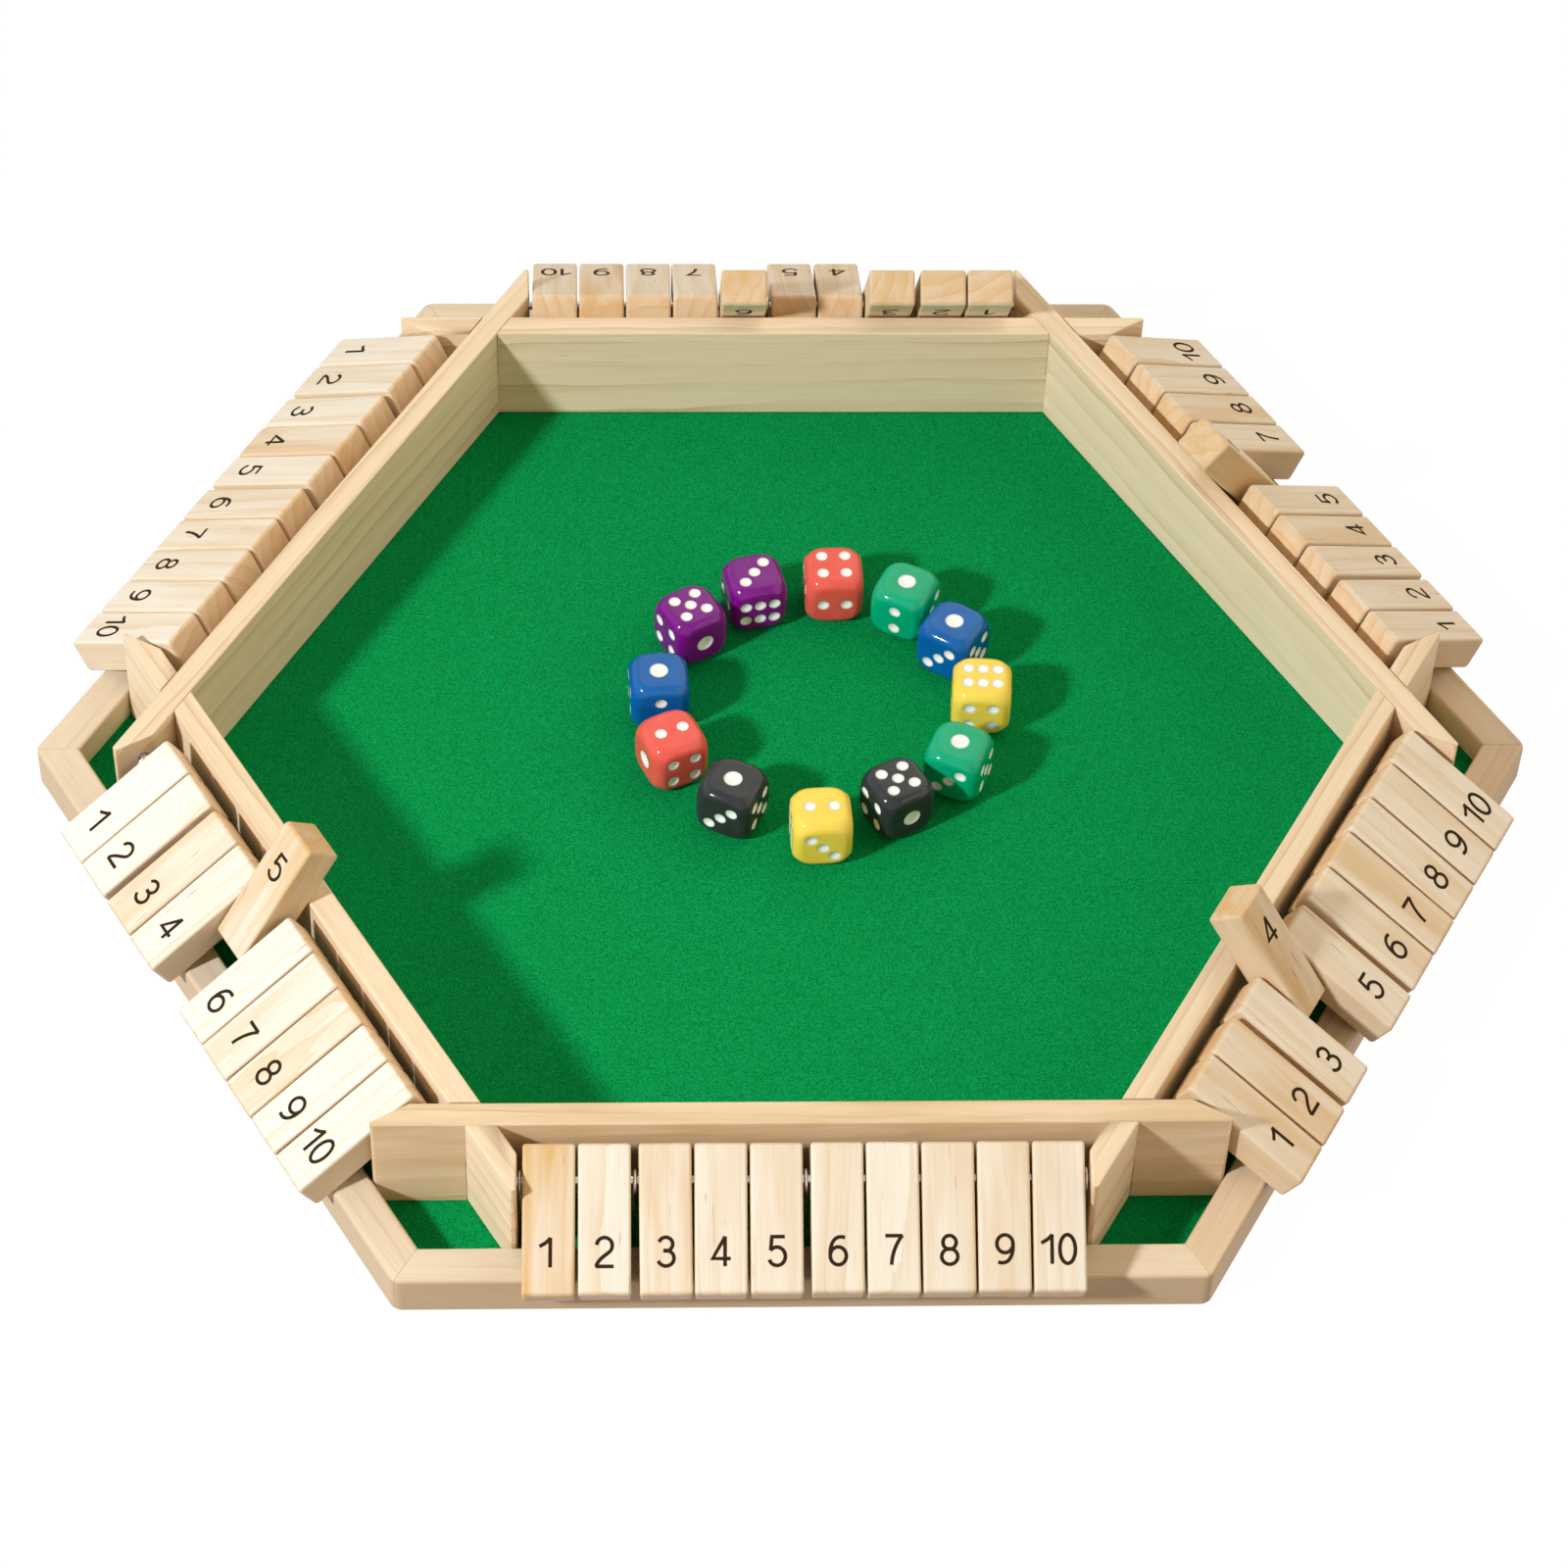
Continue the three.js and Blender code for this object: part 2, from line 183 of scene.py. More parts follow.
def rounded_outline(corners: np.ndarray, radii: list[float], steps: int) -> np.ndarray:
    """A flat outline whose corners are arcs.

    Each arc touches both sides of its corner: its middle lies on the bisector at the radius over
    the sine of half the corner's angle, and its points turn evenly between the two touching
    directions.

    Args:
        corners: The sharp corners in order, n by 2.
        radii: One radius for each corner.
        steps: Points in each arc, less one.

    Returns:
        The outline's points, in the same order, m by 2.
    """
    arcs = []
    for index, radius in enumerate(radii):
        corner = corners[index]
        back = corners[index - 1] - corner
        ahead = corners[(index + 1) % len(corners)] - corner
        back, ahead = back / np.hypot(*back), ahead / np.hypot(*ahead)
        half = math.acos(float(np.clip(back @ ahead, -1, 1))) / 2
        bisector = (back + ahead) / np.hypot(*(back + ahead))
        middle = corner + bisector * radius / math.sin(half)
        first = corner + back * radius / math.tan(half) - middle
        last = corner + ahead * radius / math.tan(half) - middle
        start = math.atan2(first[1], first[0])
        sweep = (math.atan2(last[1], last[0]) - start + math.pi) % math.tau - math.pi
        angle = start + sweep * np.linspace(0, 1, steps + 1)
        arcs.append(middle + radius * circle(angle))
    return np.concatenate(arcs)


def quads(rows: int, columns: int, close_rows: bool, close_columns: bool) -> Faces:
    """The faces of a grid of points, each of a point and its neighbours one row and column on.

    Args:
        rows: How many rows of points there are.
        columns: How many points there are in a row.
        close_rows: Whether the last row joins the first.
        close_columns: Whether the last column joins the first.

    Returns:
        The faces.
    """
    row, column = np.mgrid[:rows - (not close_rows), :columns - (not close_columns)]
    after, beside = (row + 1) % rows, (column + 1) % columns
    corners = ((row, column), (row, beside), (after, beside), (after, column))
    return np.stack([up * columns + along for up, along in corners], -1).reshape(-1, 4).tolist()


def mark(mesh: bpy.types.Mesh, name: str, values: np.ndarray, domain: str = "POINT") -> None:
    """Writes numbers, or vectors of three, on a mesh.

    Args:
        mesh: The mesh.
        name: The attribute's name.
        values: One number or one row of three for each point or face.
        domain: POINT or FACE.
    """
    kind, title = ("FLOAT_VECTOR", "vector") if np.ndim(values) > 1 else ("FLOAT", "value")
    mesh.attributes.new(name, kind, domain).data.foreach_set(title, np.ravel(values))


@dataclass
class Skin:
    """The points and faces of closed surfaces, before they become a mesh."""

    points: np.ndarray
    faces: Faces
    finish: int = 0

    @classmethod
    def of_grid(cls, points: np.ndarray, ring: bool = False, finish: int = 0) -> Skin:
        """A skin over a grid of points, each row of which is a closed loop.

        Args:
            points: Rows by columns by three coordinates.
            ring: Whether the last row joins the first. If not, a flat cap closes each end.
            finish: Which of the piece's finishes these faces take.

        Returns:
            The skin.
        """
        rows, columns = points.shape[:2]
        faces = quads(rows, columns, ring, True)
        if not ring:
            faces.append(list(range(columns)))
            faces.append(list(range((rows - 1) * columns, rows * columns)))
        return cls(points.reshape(-1, 3), faces, finish)

    def at(self, matrix: np.ndarray) -> Skin:
        """The same skin after a 4 by 4 matrix."""
        return Skin(moved(self.points, matrix), self.faces, self.finish)


class Sawing(Enum):
    """How boards came out of the log: with straight lines, with arches, or some of each."""

    STRAIGHT = "straight"
    MIXED = "mixed"


@dataclass(frozen=True)
class Log:
    """Where a tree's heart can lie from a piece that is cut from it, in millimetres.

    For straight lines it lies far to one side. For arches it lies below, up to half the spread to
    either side.
    """

    straight_share: float = 0.55
    straight_aside: Range = (26.0, 66.0)
    straight_depth: Range = (6.0, 28.0)
    arch_spread: float = 30.0
    arch_depth: Range = (14.0, 48.0)
    length: float = 400.0
    lean: float = 0.09


LOG = Log()


def within(limits: Range, share: float) -> float:
    """The value that lies this share of the way between two limits."""
    return limits[0] + (limits[1] - limits[0]) * share


@dataclass(frozen=True)
class TimberCut:
    """How a wooden piece was cut: where the tree's heart lay from it in millimetres, and its tone.

    A tone of 0 is the palest wood and 1 the warmest.
    """

    across: float
    deep: float
    along: float
    lean: float
    tone: float

    @classmethod
    def drawn(cls, draw: np.random.Generator, sawing: Sawing, tone: float) -> TimberCut:
        """A cut at random from the log.

        Args:
            draw: The seeded generator.
            sawing: How the log was sawn.
            tone: The tone.

        Returns:
            The cut.
        """
        sideways, depth, start, lean, _, edge = draw.uniform(0, 1, 6).tolist()
        if sawing is Sawing.STRAIGHT or edge < LOG.straight_share:
            aside = within(LOG.straight_aside, abs(2 * sideways - 1))
            across = math.copysign(aside, sideways - 0.5)
            deep = within(LOG.straight_depth, depth)
        else:
            across = LOG.arch_spread * (sideways - 0.5)
            deep = within(LOG.arch_depth, depth)
        return cls(across, deep, LOG.length * start, LOG.lean * (lean - 0.5), tone)


@dataclass
class Piece:
    """One visible piece on its way from skins to an object of the scene.

    Skins stand in the piece's own frame, and place puts them on the board. In that frame of a
    wooden piece, X runs across the grain, Y along it and Z through the board.
    """

    name: str
    skins: list[Skin]
    finishes: list[bpy.types.Material]
    place: np.ndarray = field(default_factory=lambda: np.eye(4))
    smooth_below: float = 40.0
    values: dict[str, np.ndarray] = field(default_factory=dict)

    def mesh(self) -> bpy.types.Mesh:
        """The piece's mesh in its own frame, with its faces turned outwards."""
        starts = np.cumsum([0] + [len(skin.points) for skin in self.skins])
        faces: Faces = []
        finish: list[int] = []
        for start, skin in zip(starts, self.skins):
            faces += [[int(start) + corner for corner in face] for face in skin.faces]
            finish += [skin.finish] * len(skin.faces)
        mesh = bpy.data.meshes.new(self.name)
        mesh.from_pydata(np.concatenate([skin.points for skin in self.skins]).tolist(), [], faces)
        mesh.polygons.foreach_set("material_index", finish)
        for title, numbers in self.values.items():
            mark(mesh, title, numbers)
        worked = bmesh.new()
        worked.from_mesh(mesh)
        bmesh.ops.remove_doubles(worked, verts=worked.verts, dist=WELD)
        bmesh.ops.recalc_face_normals(worked, faces=worked.faces)
        worked.to_mesh(mesh)
        worked.free()
        return mesh

    def make(self, body: str, slot: str, cut: TimberCut | None = None) -> bpy.types.Object:
        """Makes the object, marks its grain, puts it in place and lets it ride.

        Args:
            body: The CAD body that it moves with.
            slot: The record's material slot. It is not used.
            cut: How the wood was cut, for a wooden piece.

        Returns:
            The object.
        """
        mesh = self.mesh()
        if cut is not None:
            mark_grain(mesh, np.eye(4), cut)
        mesh.transform(Matrix(self.place.tolist()))
        return finished(self.name, mesh, self.finishes, body, self.smooth_below)


def finished(
    name: str, mesh: bpy.types.Mesh, finishes: list[bpy.types.Material], body: str,
    smooth_below: float,
) -> bpy.types.Object:
    """An object for a mesh that is already in place.

    Args:
        name: The piece's name.
        mesh: Its mesh, in the board's frame.
        finishes: Its materials.
        body: The CAD body that it moves with.
        smooth_below: Edges sharper than this many degrees stay crisp.

    Returns:
        The object.
    """
    for finish in finishes:
        mesh.materials.append(finish)
    mesh.polygons.foreach_set("use_smooth", [True] * len(mesh.polygons))
    mesh.set_sharp_from_angle(angle=math.radians(smooth_below))
    mesh.update()
    piece = bpy.data.objects.new(name, mesh)
    bpy.context.scene.collection.objects.link(piece)
    shading = piece.modifiers.new("even shading", "WEIGHTED_NORMAL")
    shading.keep_sharp = True
    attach(piece, body)
    log.info("%s: %d faces on %s", name, len(mesh.polygons), body)
    return piece


END_GRAIN = (0.35, 0.75)


def mark_grain(mesh: bpy.types.Mesh, to_timber: np.ndarray, cut: TimberCut) -> None:
    """Writes where each point lies in its tree, and which faces are end grain.

    A face counts as end grain by how much it looks along the board, from the low to the high share.
    A point's place is its distance across, along and through the board in millimetres, counted from
    the heart of the tree, after a slight lean of the grain from the board's length.

    Args:
        mesh: The mesh to mark.
        to_timber: The matrix from the mesh's frame to the timber's, with X across the board, Y
            along it and Z through it.
        cut: How the piece was cut.
    """
    points = np.empty(len(mesh.vertices) * 3)
    mesh.vertices.foreach_get("co", points)
    place = moved(points.reshape(-1, 3), to_timber) / MM
    place[:, 0] += cut.across + cut.lean * place[:, 1]
    place[:, 1] += cut.along
    place[:, 2] += cut.deep
    mark(mesh, "grain", place)
    mark(mesh, "tone", np.full(len(mesh.vertices), cut.tone))
    normals = np.empty(len(mesh.polygons) * 3)
    mesh.polygons.foreach_get("normal", normals)
    endness = np.abs(normals.reshape(-1, 3) @ to_timber[1, :3])
    low, high = END_GRAIN
    mark(mesh, "end_grain", np.clip((endness - low) / (high - low), 0, 1), "FACE")


class Signal:
    """A shader value that takes part in Python expressions. Each operator adds its Math node."""

    def __init__(self, bench: Bench, socket: bpy.types.NodeSocket) -> None:
        """Wraps one output socket on a bench."""
        self.bench = bench
        self.socket = socket

    def __add__(self, other: Signal | float) -> Signal:
        """The sum of both."""
        return self.bench.maths("ADD", self, other)

    def __sub__(self, other: Signal | float) -> Signal:
        """This less the other."""
        return self.bench.maths("SUBTRACT", self, other)

    def __rsub__(self, other: Signal | float) -> Signal:
        """The other less this."""
        return self.bench.maths("SUBTRACT", other, self)

    def __mul__(self, other: Signal | float) -> Signal:
        """The product of both."""
        return self.bench.maths("MULTIPLY", self, other)

    def __truediv__(self, other: Signal | float) -> Signal:
        """This over the other."""
        return self.bench.maths("DIVIDE", self, other)

    def __pow__(self, other: Signal | float) -> Signal:
        """This to the power of the other."""
        return self.bench.maths("POWER", self, other)

    __radd__ = __add__
    __rmul__ = __mul__


Place = tuple[Signal, Signal, Signal]


@dataclass(frozen=True)
class Pattern:
    """Noise: how many features it has to a millimetre along X, Y and Z, and how fine it gets.

    Between its two limits the marks that it makes come up.
    """

    x: float
    y: float
    z: float
    detail: float = 2.0
    roughness: float = 0.5
    limits: Range = (0.0, 1.0)

    @classmethod
    def even(cls, scale: float, *rest: float | Range) -> Pattern:
        """Noise that is alike in every direction."""
        return cls(scale, scale, scale, *rest)

    @classmethod
    def grained(cls, across: float, along: float, *rest: float | Range) -> Pattern:
        """Noise that is drawn out along Y, the way wood grows."""
        return cls(across, along, across, *rest)


@dataclass(frozen=True)
class Relief:
    """How deep a surface's relief is, in metres, and how strongly it shades."""

    depth: float
    strength: float


class Bench:
    """A node tree, with the few kinds of node that the finishes and the studio use."""

    def __init__(self, owner: bpy.types.Material | bpy.types.World) -> None:
        """Empties the tree of a material or a world."""
        owner.use_nodes = True
        self.owner = owner
        self.tree = owner.node_tree
        self.tree.nodes.clear()

    @classmethod
    def named(cls, title: str) -> Bench:
        """The bench of a new material."""
        return cls(bpy.data.materials.new(title))

    def node(
        self, kind: str, inputs: dict[str | int, object] | None = None, **settings: object,
    ) -> bpy.types.Node:
        """Adds a node.

        Args:
            kind: The node's type, without the word ShaderNode.
            inputs: A value, Signal or socket for each named or numbered input.
            **settings: Its own settings, set first.

        Returns:
            The node.
        """
        made = self.tree.nodes.new("ShaderNode" + kind)
        for name, value in settings.items():
            setattr(made, name, value)
        for name, value in (inputs or {}).items():
            if isinstance(value, Signal):
                value = value.socket
            if isinstance(value, bpy.types.NodeSocket):
                self.tree.links.new(value, made.inputs[name])
            else:
                made.inputs[name].default_value = value
        return made

    def maths(self, operation: str, *values: Signal | float) -> Signal:
        """A Math node of that operation on the values."""
        made = self.node("Math", dict(enumerate(values)), operation=operation)
        return Signal(self, made.outputs[0])

    def split(self, vector: bpy.types.NodeSocket) -> Place:
        """The three values of a vector."""
        outputs = self.node("SeparateXYZ", {0: vector}).outputs
        return Signal(self, outputs[0]), Signal(self, outputs[1]), Signal(self, outputs[2])

    def attribute(self, name: str) -> bpy.types.Node:
        """The node that reads what the mesh carries under that name."""
        return self.node("Attribute", attribute_type="GEOMETRY", attribute_name=name)

    def marked(self, name: str) -> Signal:
        """A number that the mesh carries."""
        return Signal(self, self.attribute(name).outputs["Fac"])

    def grain(self) -> Place:
        """The point's place in its tree, in millimetres across, along and through the board."""
        return self.split(self.attribute("grain").outputs["Vector"])

    def place(self) -> Place:
        """The point's own place on the object, in millimetres along X, Y and Z."""
        x, y, z = self.split(self.node("TexCoord").outputs["Object"])
        return x / MM, y / MM, z / MM

    def noise(self, place: Place, pattern: Pattern) -> Signal:
        """Smooth noise from about 0 to 1."""
        scaled = (value * scale for value, scale in zip(place, (pattern.x, pattern.y, pattern.z)))
        vector = self.node("CombineXYZ", dict(enumerate(scaled))).outputs[0]
        fine = {"Detail": pattern.detail, "Roughness": pattern.roughness}
        inputs = {"Vector": vector, "Scale": 1.0, **fine}
        return Signal(self, self.node("TexNoise", inputs, noise_dimensions="3D").outputs[0])

    def between(self, value: Signal, limits: Range) -> Signal:
        """0 below the first limit, 1 above the second, and an S-shaped rise in between."""
        low, high = limits
        inputs = {"Value": value, "From Min": low, "From Max": high, "To Min": 0.0, "To Max": 1.0}
        made = self.node("MapRange", inputs, interpolation_type="SMOOTHSTEP")
        return Signal(self, made.outputs[0])

    def mixed(
        self, share: Signal | float, first: Signal | Colour, second: Signal | Colour,
    ) -> Signal:
        """A colour between two others.

        Args:
            share: How much of the second there is.
            first: A colour.
            second: A colour.

        Returns:
            The mix.
        """
        ends = [end if isinstance(end, Signal) else linear(end) for end in (first, second)]
        inputs = {0: share, 6: ends[0], 7: ends[1]}
        made = self.node("Mix", inputs, data_type="RGBA", clamp_factor=True)
        return Signal(self, made.outputs[2])

    def spread(self, share: Signal, limits: Range) -> Signal:
        """The value that lies a share of the way between two limits."""
        return share * (limits[1] - limits[0]) + limits[0]

    def marks(self, place: Place, pattern: Pattern) -> Signal:
        """The marks of a pattern: 0 where its noise is below its limits, 1 where it is above."""
        return self.between(self.noise(place, pattern), pattern.limits)

    def surface(
        self, colour: Signal, rough: Signal, height: Signal, relief: Relief,
        more: dict[str | int, object] | None = None,
    ) -> bpy.types.Material:
        """Ends the tree in a Principled shader.

        Args:
            colour: The base colour.
            rough: The roughness.
            height: What raises the surface, from nothing up to the relief's depth.
            relief: Its relief.
            more: Other inputs of the shader.

        Returns:
            The finished material.
        """
        inputs = {"Strength": relief.strength, "Distance": relief.depth, "Height": height}
        normal = self.node("Bump", inputs).outputs[0]
        base = {"Base Color": colour, "Roughness": rough, "Normal": normal}
        shader = self.node("BsdfPrincipled", {**base, **(more or {})})
        self.node("OutputMaterial", {"Surface": shader.outputs[0]})
        return self.owner


@dataclass(frozen=True)
class PineFinish:
    """Sanded pine without varnish: growth rings cut lengthways, fine fibres, and a few dark flecks.

    Rings are shells round the heart of the tree, so a board shows lines along it and arcs on its
    ends. Each year's ring darkens slowly and ends in a sharp line. A ring is a power of the season,
    which runs from 0 to 1 in a year, and a share.
    """

    title: str
    pale: Colour
    late: Colour
    warm: Colour
    end: Colour
    ring_pitch: float
    ring_strength: float
    fleck_low: float
    wander: float = 5.0
    fleck: Colour = (128, 88, 50)
    fleck_rise: float = 0.06
    ripple_depth: float = 0.9
    slow_ring: tuple[float, float] = (1.8, 0.45)
    sharp_ring: tuple[float, float] = (8.0, 0.55)
    end_ring: tuple[float, float] = (2.5, 0.25)
    patch_share: float = 0.8
    blush_share: float = 0.6
    streak_share: float = 0.26
    fleck_share: float = 0.55
    # How much painted shade darkens the faces that a piece marks as its sides.
    planed_share: float = 0.75
    pore_share: float = 0.15
    least_end: float = 0.42
    roughness: Range = (0.5, 0.62)
    shine: float = 0.3
    relief: Relief = Relief(0.05 * MM, 0.6)
    fibre_height: float = 0.7
    ring_depth: float = 0.25
    fleck_depth: float = 0.5
    drift: Pattern = Pattern.grained(0.06, 0.014, 2.0)
    ripple: Pattern = Pattern.grained(0.5, 0.05, 1.0)
    patches: Pattern = Pattern.grained(0.13, 0.01, 1.0, 0.5, (0.34, 0.64))
    fibres: Pattern = Pattern.grained(3.1, 0.055, 3.0, 0.62, (0.42, 0.74))
    blush: Pattern = Pattern.grained(0.2, 0.022, 2.0, 0.5, (0.36, 0.66))
    flecks: Pattern = Pattern.grained(1.5, 0.09, 1.0)
    pores: Pattern = Pattern.grained(5.0, 1.0, 2.0, 0.5, (0.4, 0.7))

    def material(self) -> bpy.types.Material:
        """The finish as a material, read from the grain that each piece carries."""
        bench = Bench.named(self.title)
        grain = bench.grain()
        across, _, deep = grain
        drift = bench.noise(grain, self.drift) - 0.5
        ripple = bench.noise(grain, self.ripple) - 0.5
        radius = (across * across + deep * deep) ** 0.5 + drift * self.wander
        season = bench.maths("FRACT", (radius + ripple * self.ripple_depth) / self.ring_pitch)
        fade = bench.marks(grain, self.patches) * self.patch_share + (1 - self.patch_share)
        slow = (season ** self.slow_ring[0]) * self.slow_ring[1]
        sharp = (season ** self.sharp_ring[0]) * self.sharp_ring[1]
        rings = (slow + sharp) * fade
        fibre = bench.noise(grain, self.fibres)
        streak = bench.between(fibre, self.fibres.limits)
        blush = bench.marks(grain, self.blush) * self.blush_share + (1 - self.blush_share)
        fleck_range = (self.fleck_low, self.fleck_low + self.fleck_rise)
        flecks = bench.between(bench.noise(grain, self.flecks), fleck_range)
        colour = bench.mixed(bench.marked("tone") * blush, self.pale, self.warm)
        colour = bench.mixed(rings * self.ring_strength, colour, self.late)
        colour = bench.mixed(streak * self.streak_share, colour, self.late)
        colour = bench.mixed(flecks * self.fleck_share, colour, self.fleck)
        # Painted shade: the rail's outer faces and the tiles' side faces are darkened towards the
        # late colour, as if shade falls on them.
        colour = bench.mixed(bench.marked("planed") * self.planed_share, colour, self.late)
        pores = bench.marks(grain, self.pores)
        ends = bench.marked("end_grain")
        end_lines = (season ** self.end_ring[0]) * self.end_ring[1]
        ends = ends * (pores * self.pore_share + end_lines + self.least_end)
        colour = bench.mixed(ends, colour, self.end)
        height = fibre * self.fibre_height - rings * self.ring_depth - flecks * self.fleck_depth
        rough = bench.spread(streak, self.roughness)
        more = {"Specular IOR Level": self.shine}
        return bench.surface(colour, rough, height, self.relief, more)


@dataclass(frozen=True)
class PlywoodFinish:
    """Raw thin plywood: a face veneer with long figure, and thin layers at the edge."""

    title: str = "plywood"
    face: Colour = (214, 186, 142)
    late: Colour = (188, 150, 102)
    layer: float = 0.65
    figure_share: float = 0.7
    layer_share: float = 0.25
    fibre_share: float = 0.2
    roughness: Range = (0.6, 0.8)
    relief: Relief = Relief(0.06 * MM, 0.6)
    figure: Pattern = Pattern(0.02, 0.16, 0.1, 4.0, 0.6, (0.4, 0.68))
    fibres: Pattern = Pattern(0.1, 2.4, 2.0)

    def material(self) -> bpy.types.Material:
        """The finish as a material on the object's own place."""
        bench = Bench.named(self.title)
        place = bench.place()
        figure = bench.marks(place, self.figure)
        fibre = bench.noise(place, self.fibres)
        layers = bench.maths("SINE", place[2] * (math.tau / self.layer)) * 0.5 + 0.5
        colour = bench.mixed(figure * self.figure_share, self.face, self.late)
        lines = layers * self.layer_share + fibre * self.fibre_share
        colour = bench.mixed(lines, colour, self.late)
        rough = bench.spread(fibre, self.roughness)
        return bench.surface(colour, rough, fibre, self.relief)


@dataclass(frozen=True)
class FeltFinish:
    """Green felt with a short nap: matted fibres, dark pits between them and a few odd threads."""

    title: str = "green_felt"
    nap: Colour = (8, 158, 87)
    pit: Colour = (0, 120, 56)
    thread: Colour = (124, 140, 96)
    cloud_share: float = 0.22
    thread_share: float = 0.5
    roughness: Range = (0.88, 0.98)
    shine: float = 0.06
    relief: Relief = Relief(0.35 * MM, 0.7)
    mat: Pattern = Pattern.even(2.1, 2.0, 0.6, (0.34, 0.64))
    cloud: Pattern = Pattern.even(0.05, 3.0)
    threads: Pattern = Pattern(1.9, 1.3, 1.7, 1.0, 0.5, (0.72, 0.8))

    def material(self) -> bpy.types.Material:
        """The finish as a material on the object's own place."""
        bench = Bench.named(self.title)
        place = bench.place()
        mat = bench.noise(place, self.mat)
        cloud = bench.noise(place, self.cloud)
        threads = bench.marks(place, self.threads)
        colour = bench.mixed(bench.between(mat, self.mat.limits), self.pit, self.nap)
        colour = bench.mixed(cloud * self.cloud_share, colour, self.pit)
        colour = bench.mixed(threads * self.thread_share, colour, self.thread)
        rough = bench.spread(mat, self.roughness)
        more = {"Specular IOR Level": self.shine}
        return bench.surface(colour, rough, mat, self.relief, more)


@dataclass(frozen=True)
class SteelFinish:
    """Drawn steel wire: bright, with faint rings and rubbed spots from the drawing."""

    title: str = "drawn_steel"
    bright: Colour = (226, 227, 228)
    dull: Colour = (186, 187, 189)
    roughness: Range = (0.18, 0.43)
    relief: Relief = Relief(0.02 * MM, 0.4)
    rubbing: Pattern = Pattern.even(0.9, 3.0, 0.6, (0.35, 0.7))

    def material(self) -> bpy.types.Material:
        """The finish as a material on the object's own place."""
        bench = Bench.named(self.title)
        rub = bench.noise(bench.place(), self.rubbing)
        rubbed = bench.between(rub, self.rubbing.limits)
        colour = bench.mixed(rubbed, self.bright, self.dull)
        rough = bench.spread(rub, self.roughness)
        return bench.surface(colour, rough, rub, self.relief, {"Metallic": 1.0})


@dataclass(frozen=True)
class InkFinish:
    """Dark brown printing ink that sinks a little into the wood's fibres."""

    title: str = "number_ink"
    ink: Colour = (42, 28, 14)
    worn: Colour = (92, 68, 40)
    wear_share: float = 0.7
    roughness: Range = (0.7, 0.9)
    shine: float = 0.1
    relief: Relief = Relief(0.02 * MM, 0.4)
    speckle: Pattern = Pattern.even(3.2, 3.0, 0.65, (0.45, 0.8))

    def material(self) -> bpy.types.Material:
        """The finish as a material on the object's own place."""
        bench = Bench.named(self.title)
        speckle = bench.noise(bench.place(), self.speckle)
        wear = bench.between(speckle, self.speckle.limits) * self.wear_share
        colour = bench.mixed(wear, self.ink, self.worn)
        rough = bench.spread(speckle, self.roughness)
        more = {"Specular IOR Level": self.shine}
        return bench.surface(colour, rough, speckle, self.relief, more)


@dataclass(frozen=True)
class DieFinish:
    """Glossy moulded plastic with white painted pips.

    The mesh carries each point's distance from the nearest pip's rim in millimetres, less than none
    inside it. So the paint follows the dimples, and a painted shade darkens it towards their rims.
    """

    title: str
    body: Colour
    swirl: Colour
    paint: Colour = (246, 246, 242)
    rim_shade: Colour = (178, 180, 180)
    paint_edge: float = 0.07
    shade_width: float = 0.5
    shade_share: float = 0.6
    swirl_share: float = 0.6
    gloss: float = 0.1
    scuff_roughness: float = 0.08
    paint_roughness: float = 0.25
    shine: float = 0.15
    coat: float = 0.15
    coat_roughness: float = 0.08
    relief: Relief = Relief(0.012 * MM, 0.35)
    flow: Pattern = Pattern.even(0.22, 3.0, 0.5, (0.35, 0.7))
    scuff: Pattern = Pattern.even(1.7, 4.0, 0.7)

    def material(self) -> bpy.types.Material:
        """The finish as a material."""
        bench = Bench.named(self.title)
        place, rim = bench.place(), bench.marked("pip_rim")
        flow = bench.noise(place, self.flow)
        scuff = bench.noise(place, self.scuff)
        outside = bench.between(rim, (-self.paint_edge, self.paint_edge))
        swirl = bench.between(flow, self.flow.limits) * self.swirl_share
        plastic = bench.mixed(swirl, self.body, self.swirl)
        # Painted shade inside each pip's dimple, darkest at its rim.
        shade = bench.between(rim, (-self.shade_width, 0.0)) * self.shade_share
        painted = bench.mixed(shade, self.paint, self.rim_shade)
        colour = bench.mixed(outside, painted, plastic)
        matt = (1.0 - outside) * self.paint_roughness + scuff * self.scuff_roughness
        return bench.surface(colour, matt + self.gloss, scuff, self.relief, {
            "Specular IOR Level": self.shine,
            "Coat Weight": outside * self.coat,
            "Coat Roughness": self.coat_roughness,
        })


DIE_COLOURS: dict[str, tuple[Colour, Colour]] = {
    "purple": ((116, 8, 126), (130, 18, 138)),
    "red": ((230, 86, 74), (238, 104, 92)),
    "teal": ((0, 166, 116), (6, 176, 130)),
    "blue": ((6, 92, 166), (12, 104, 182)),
    "yellow": ((247, 212, 76), (249, 221, 100)),
    "black": ((44, 48, 50), (54, 58, 60)),
}


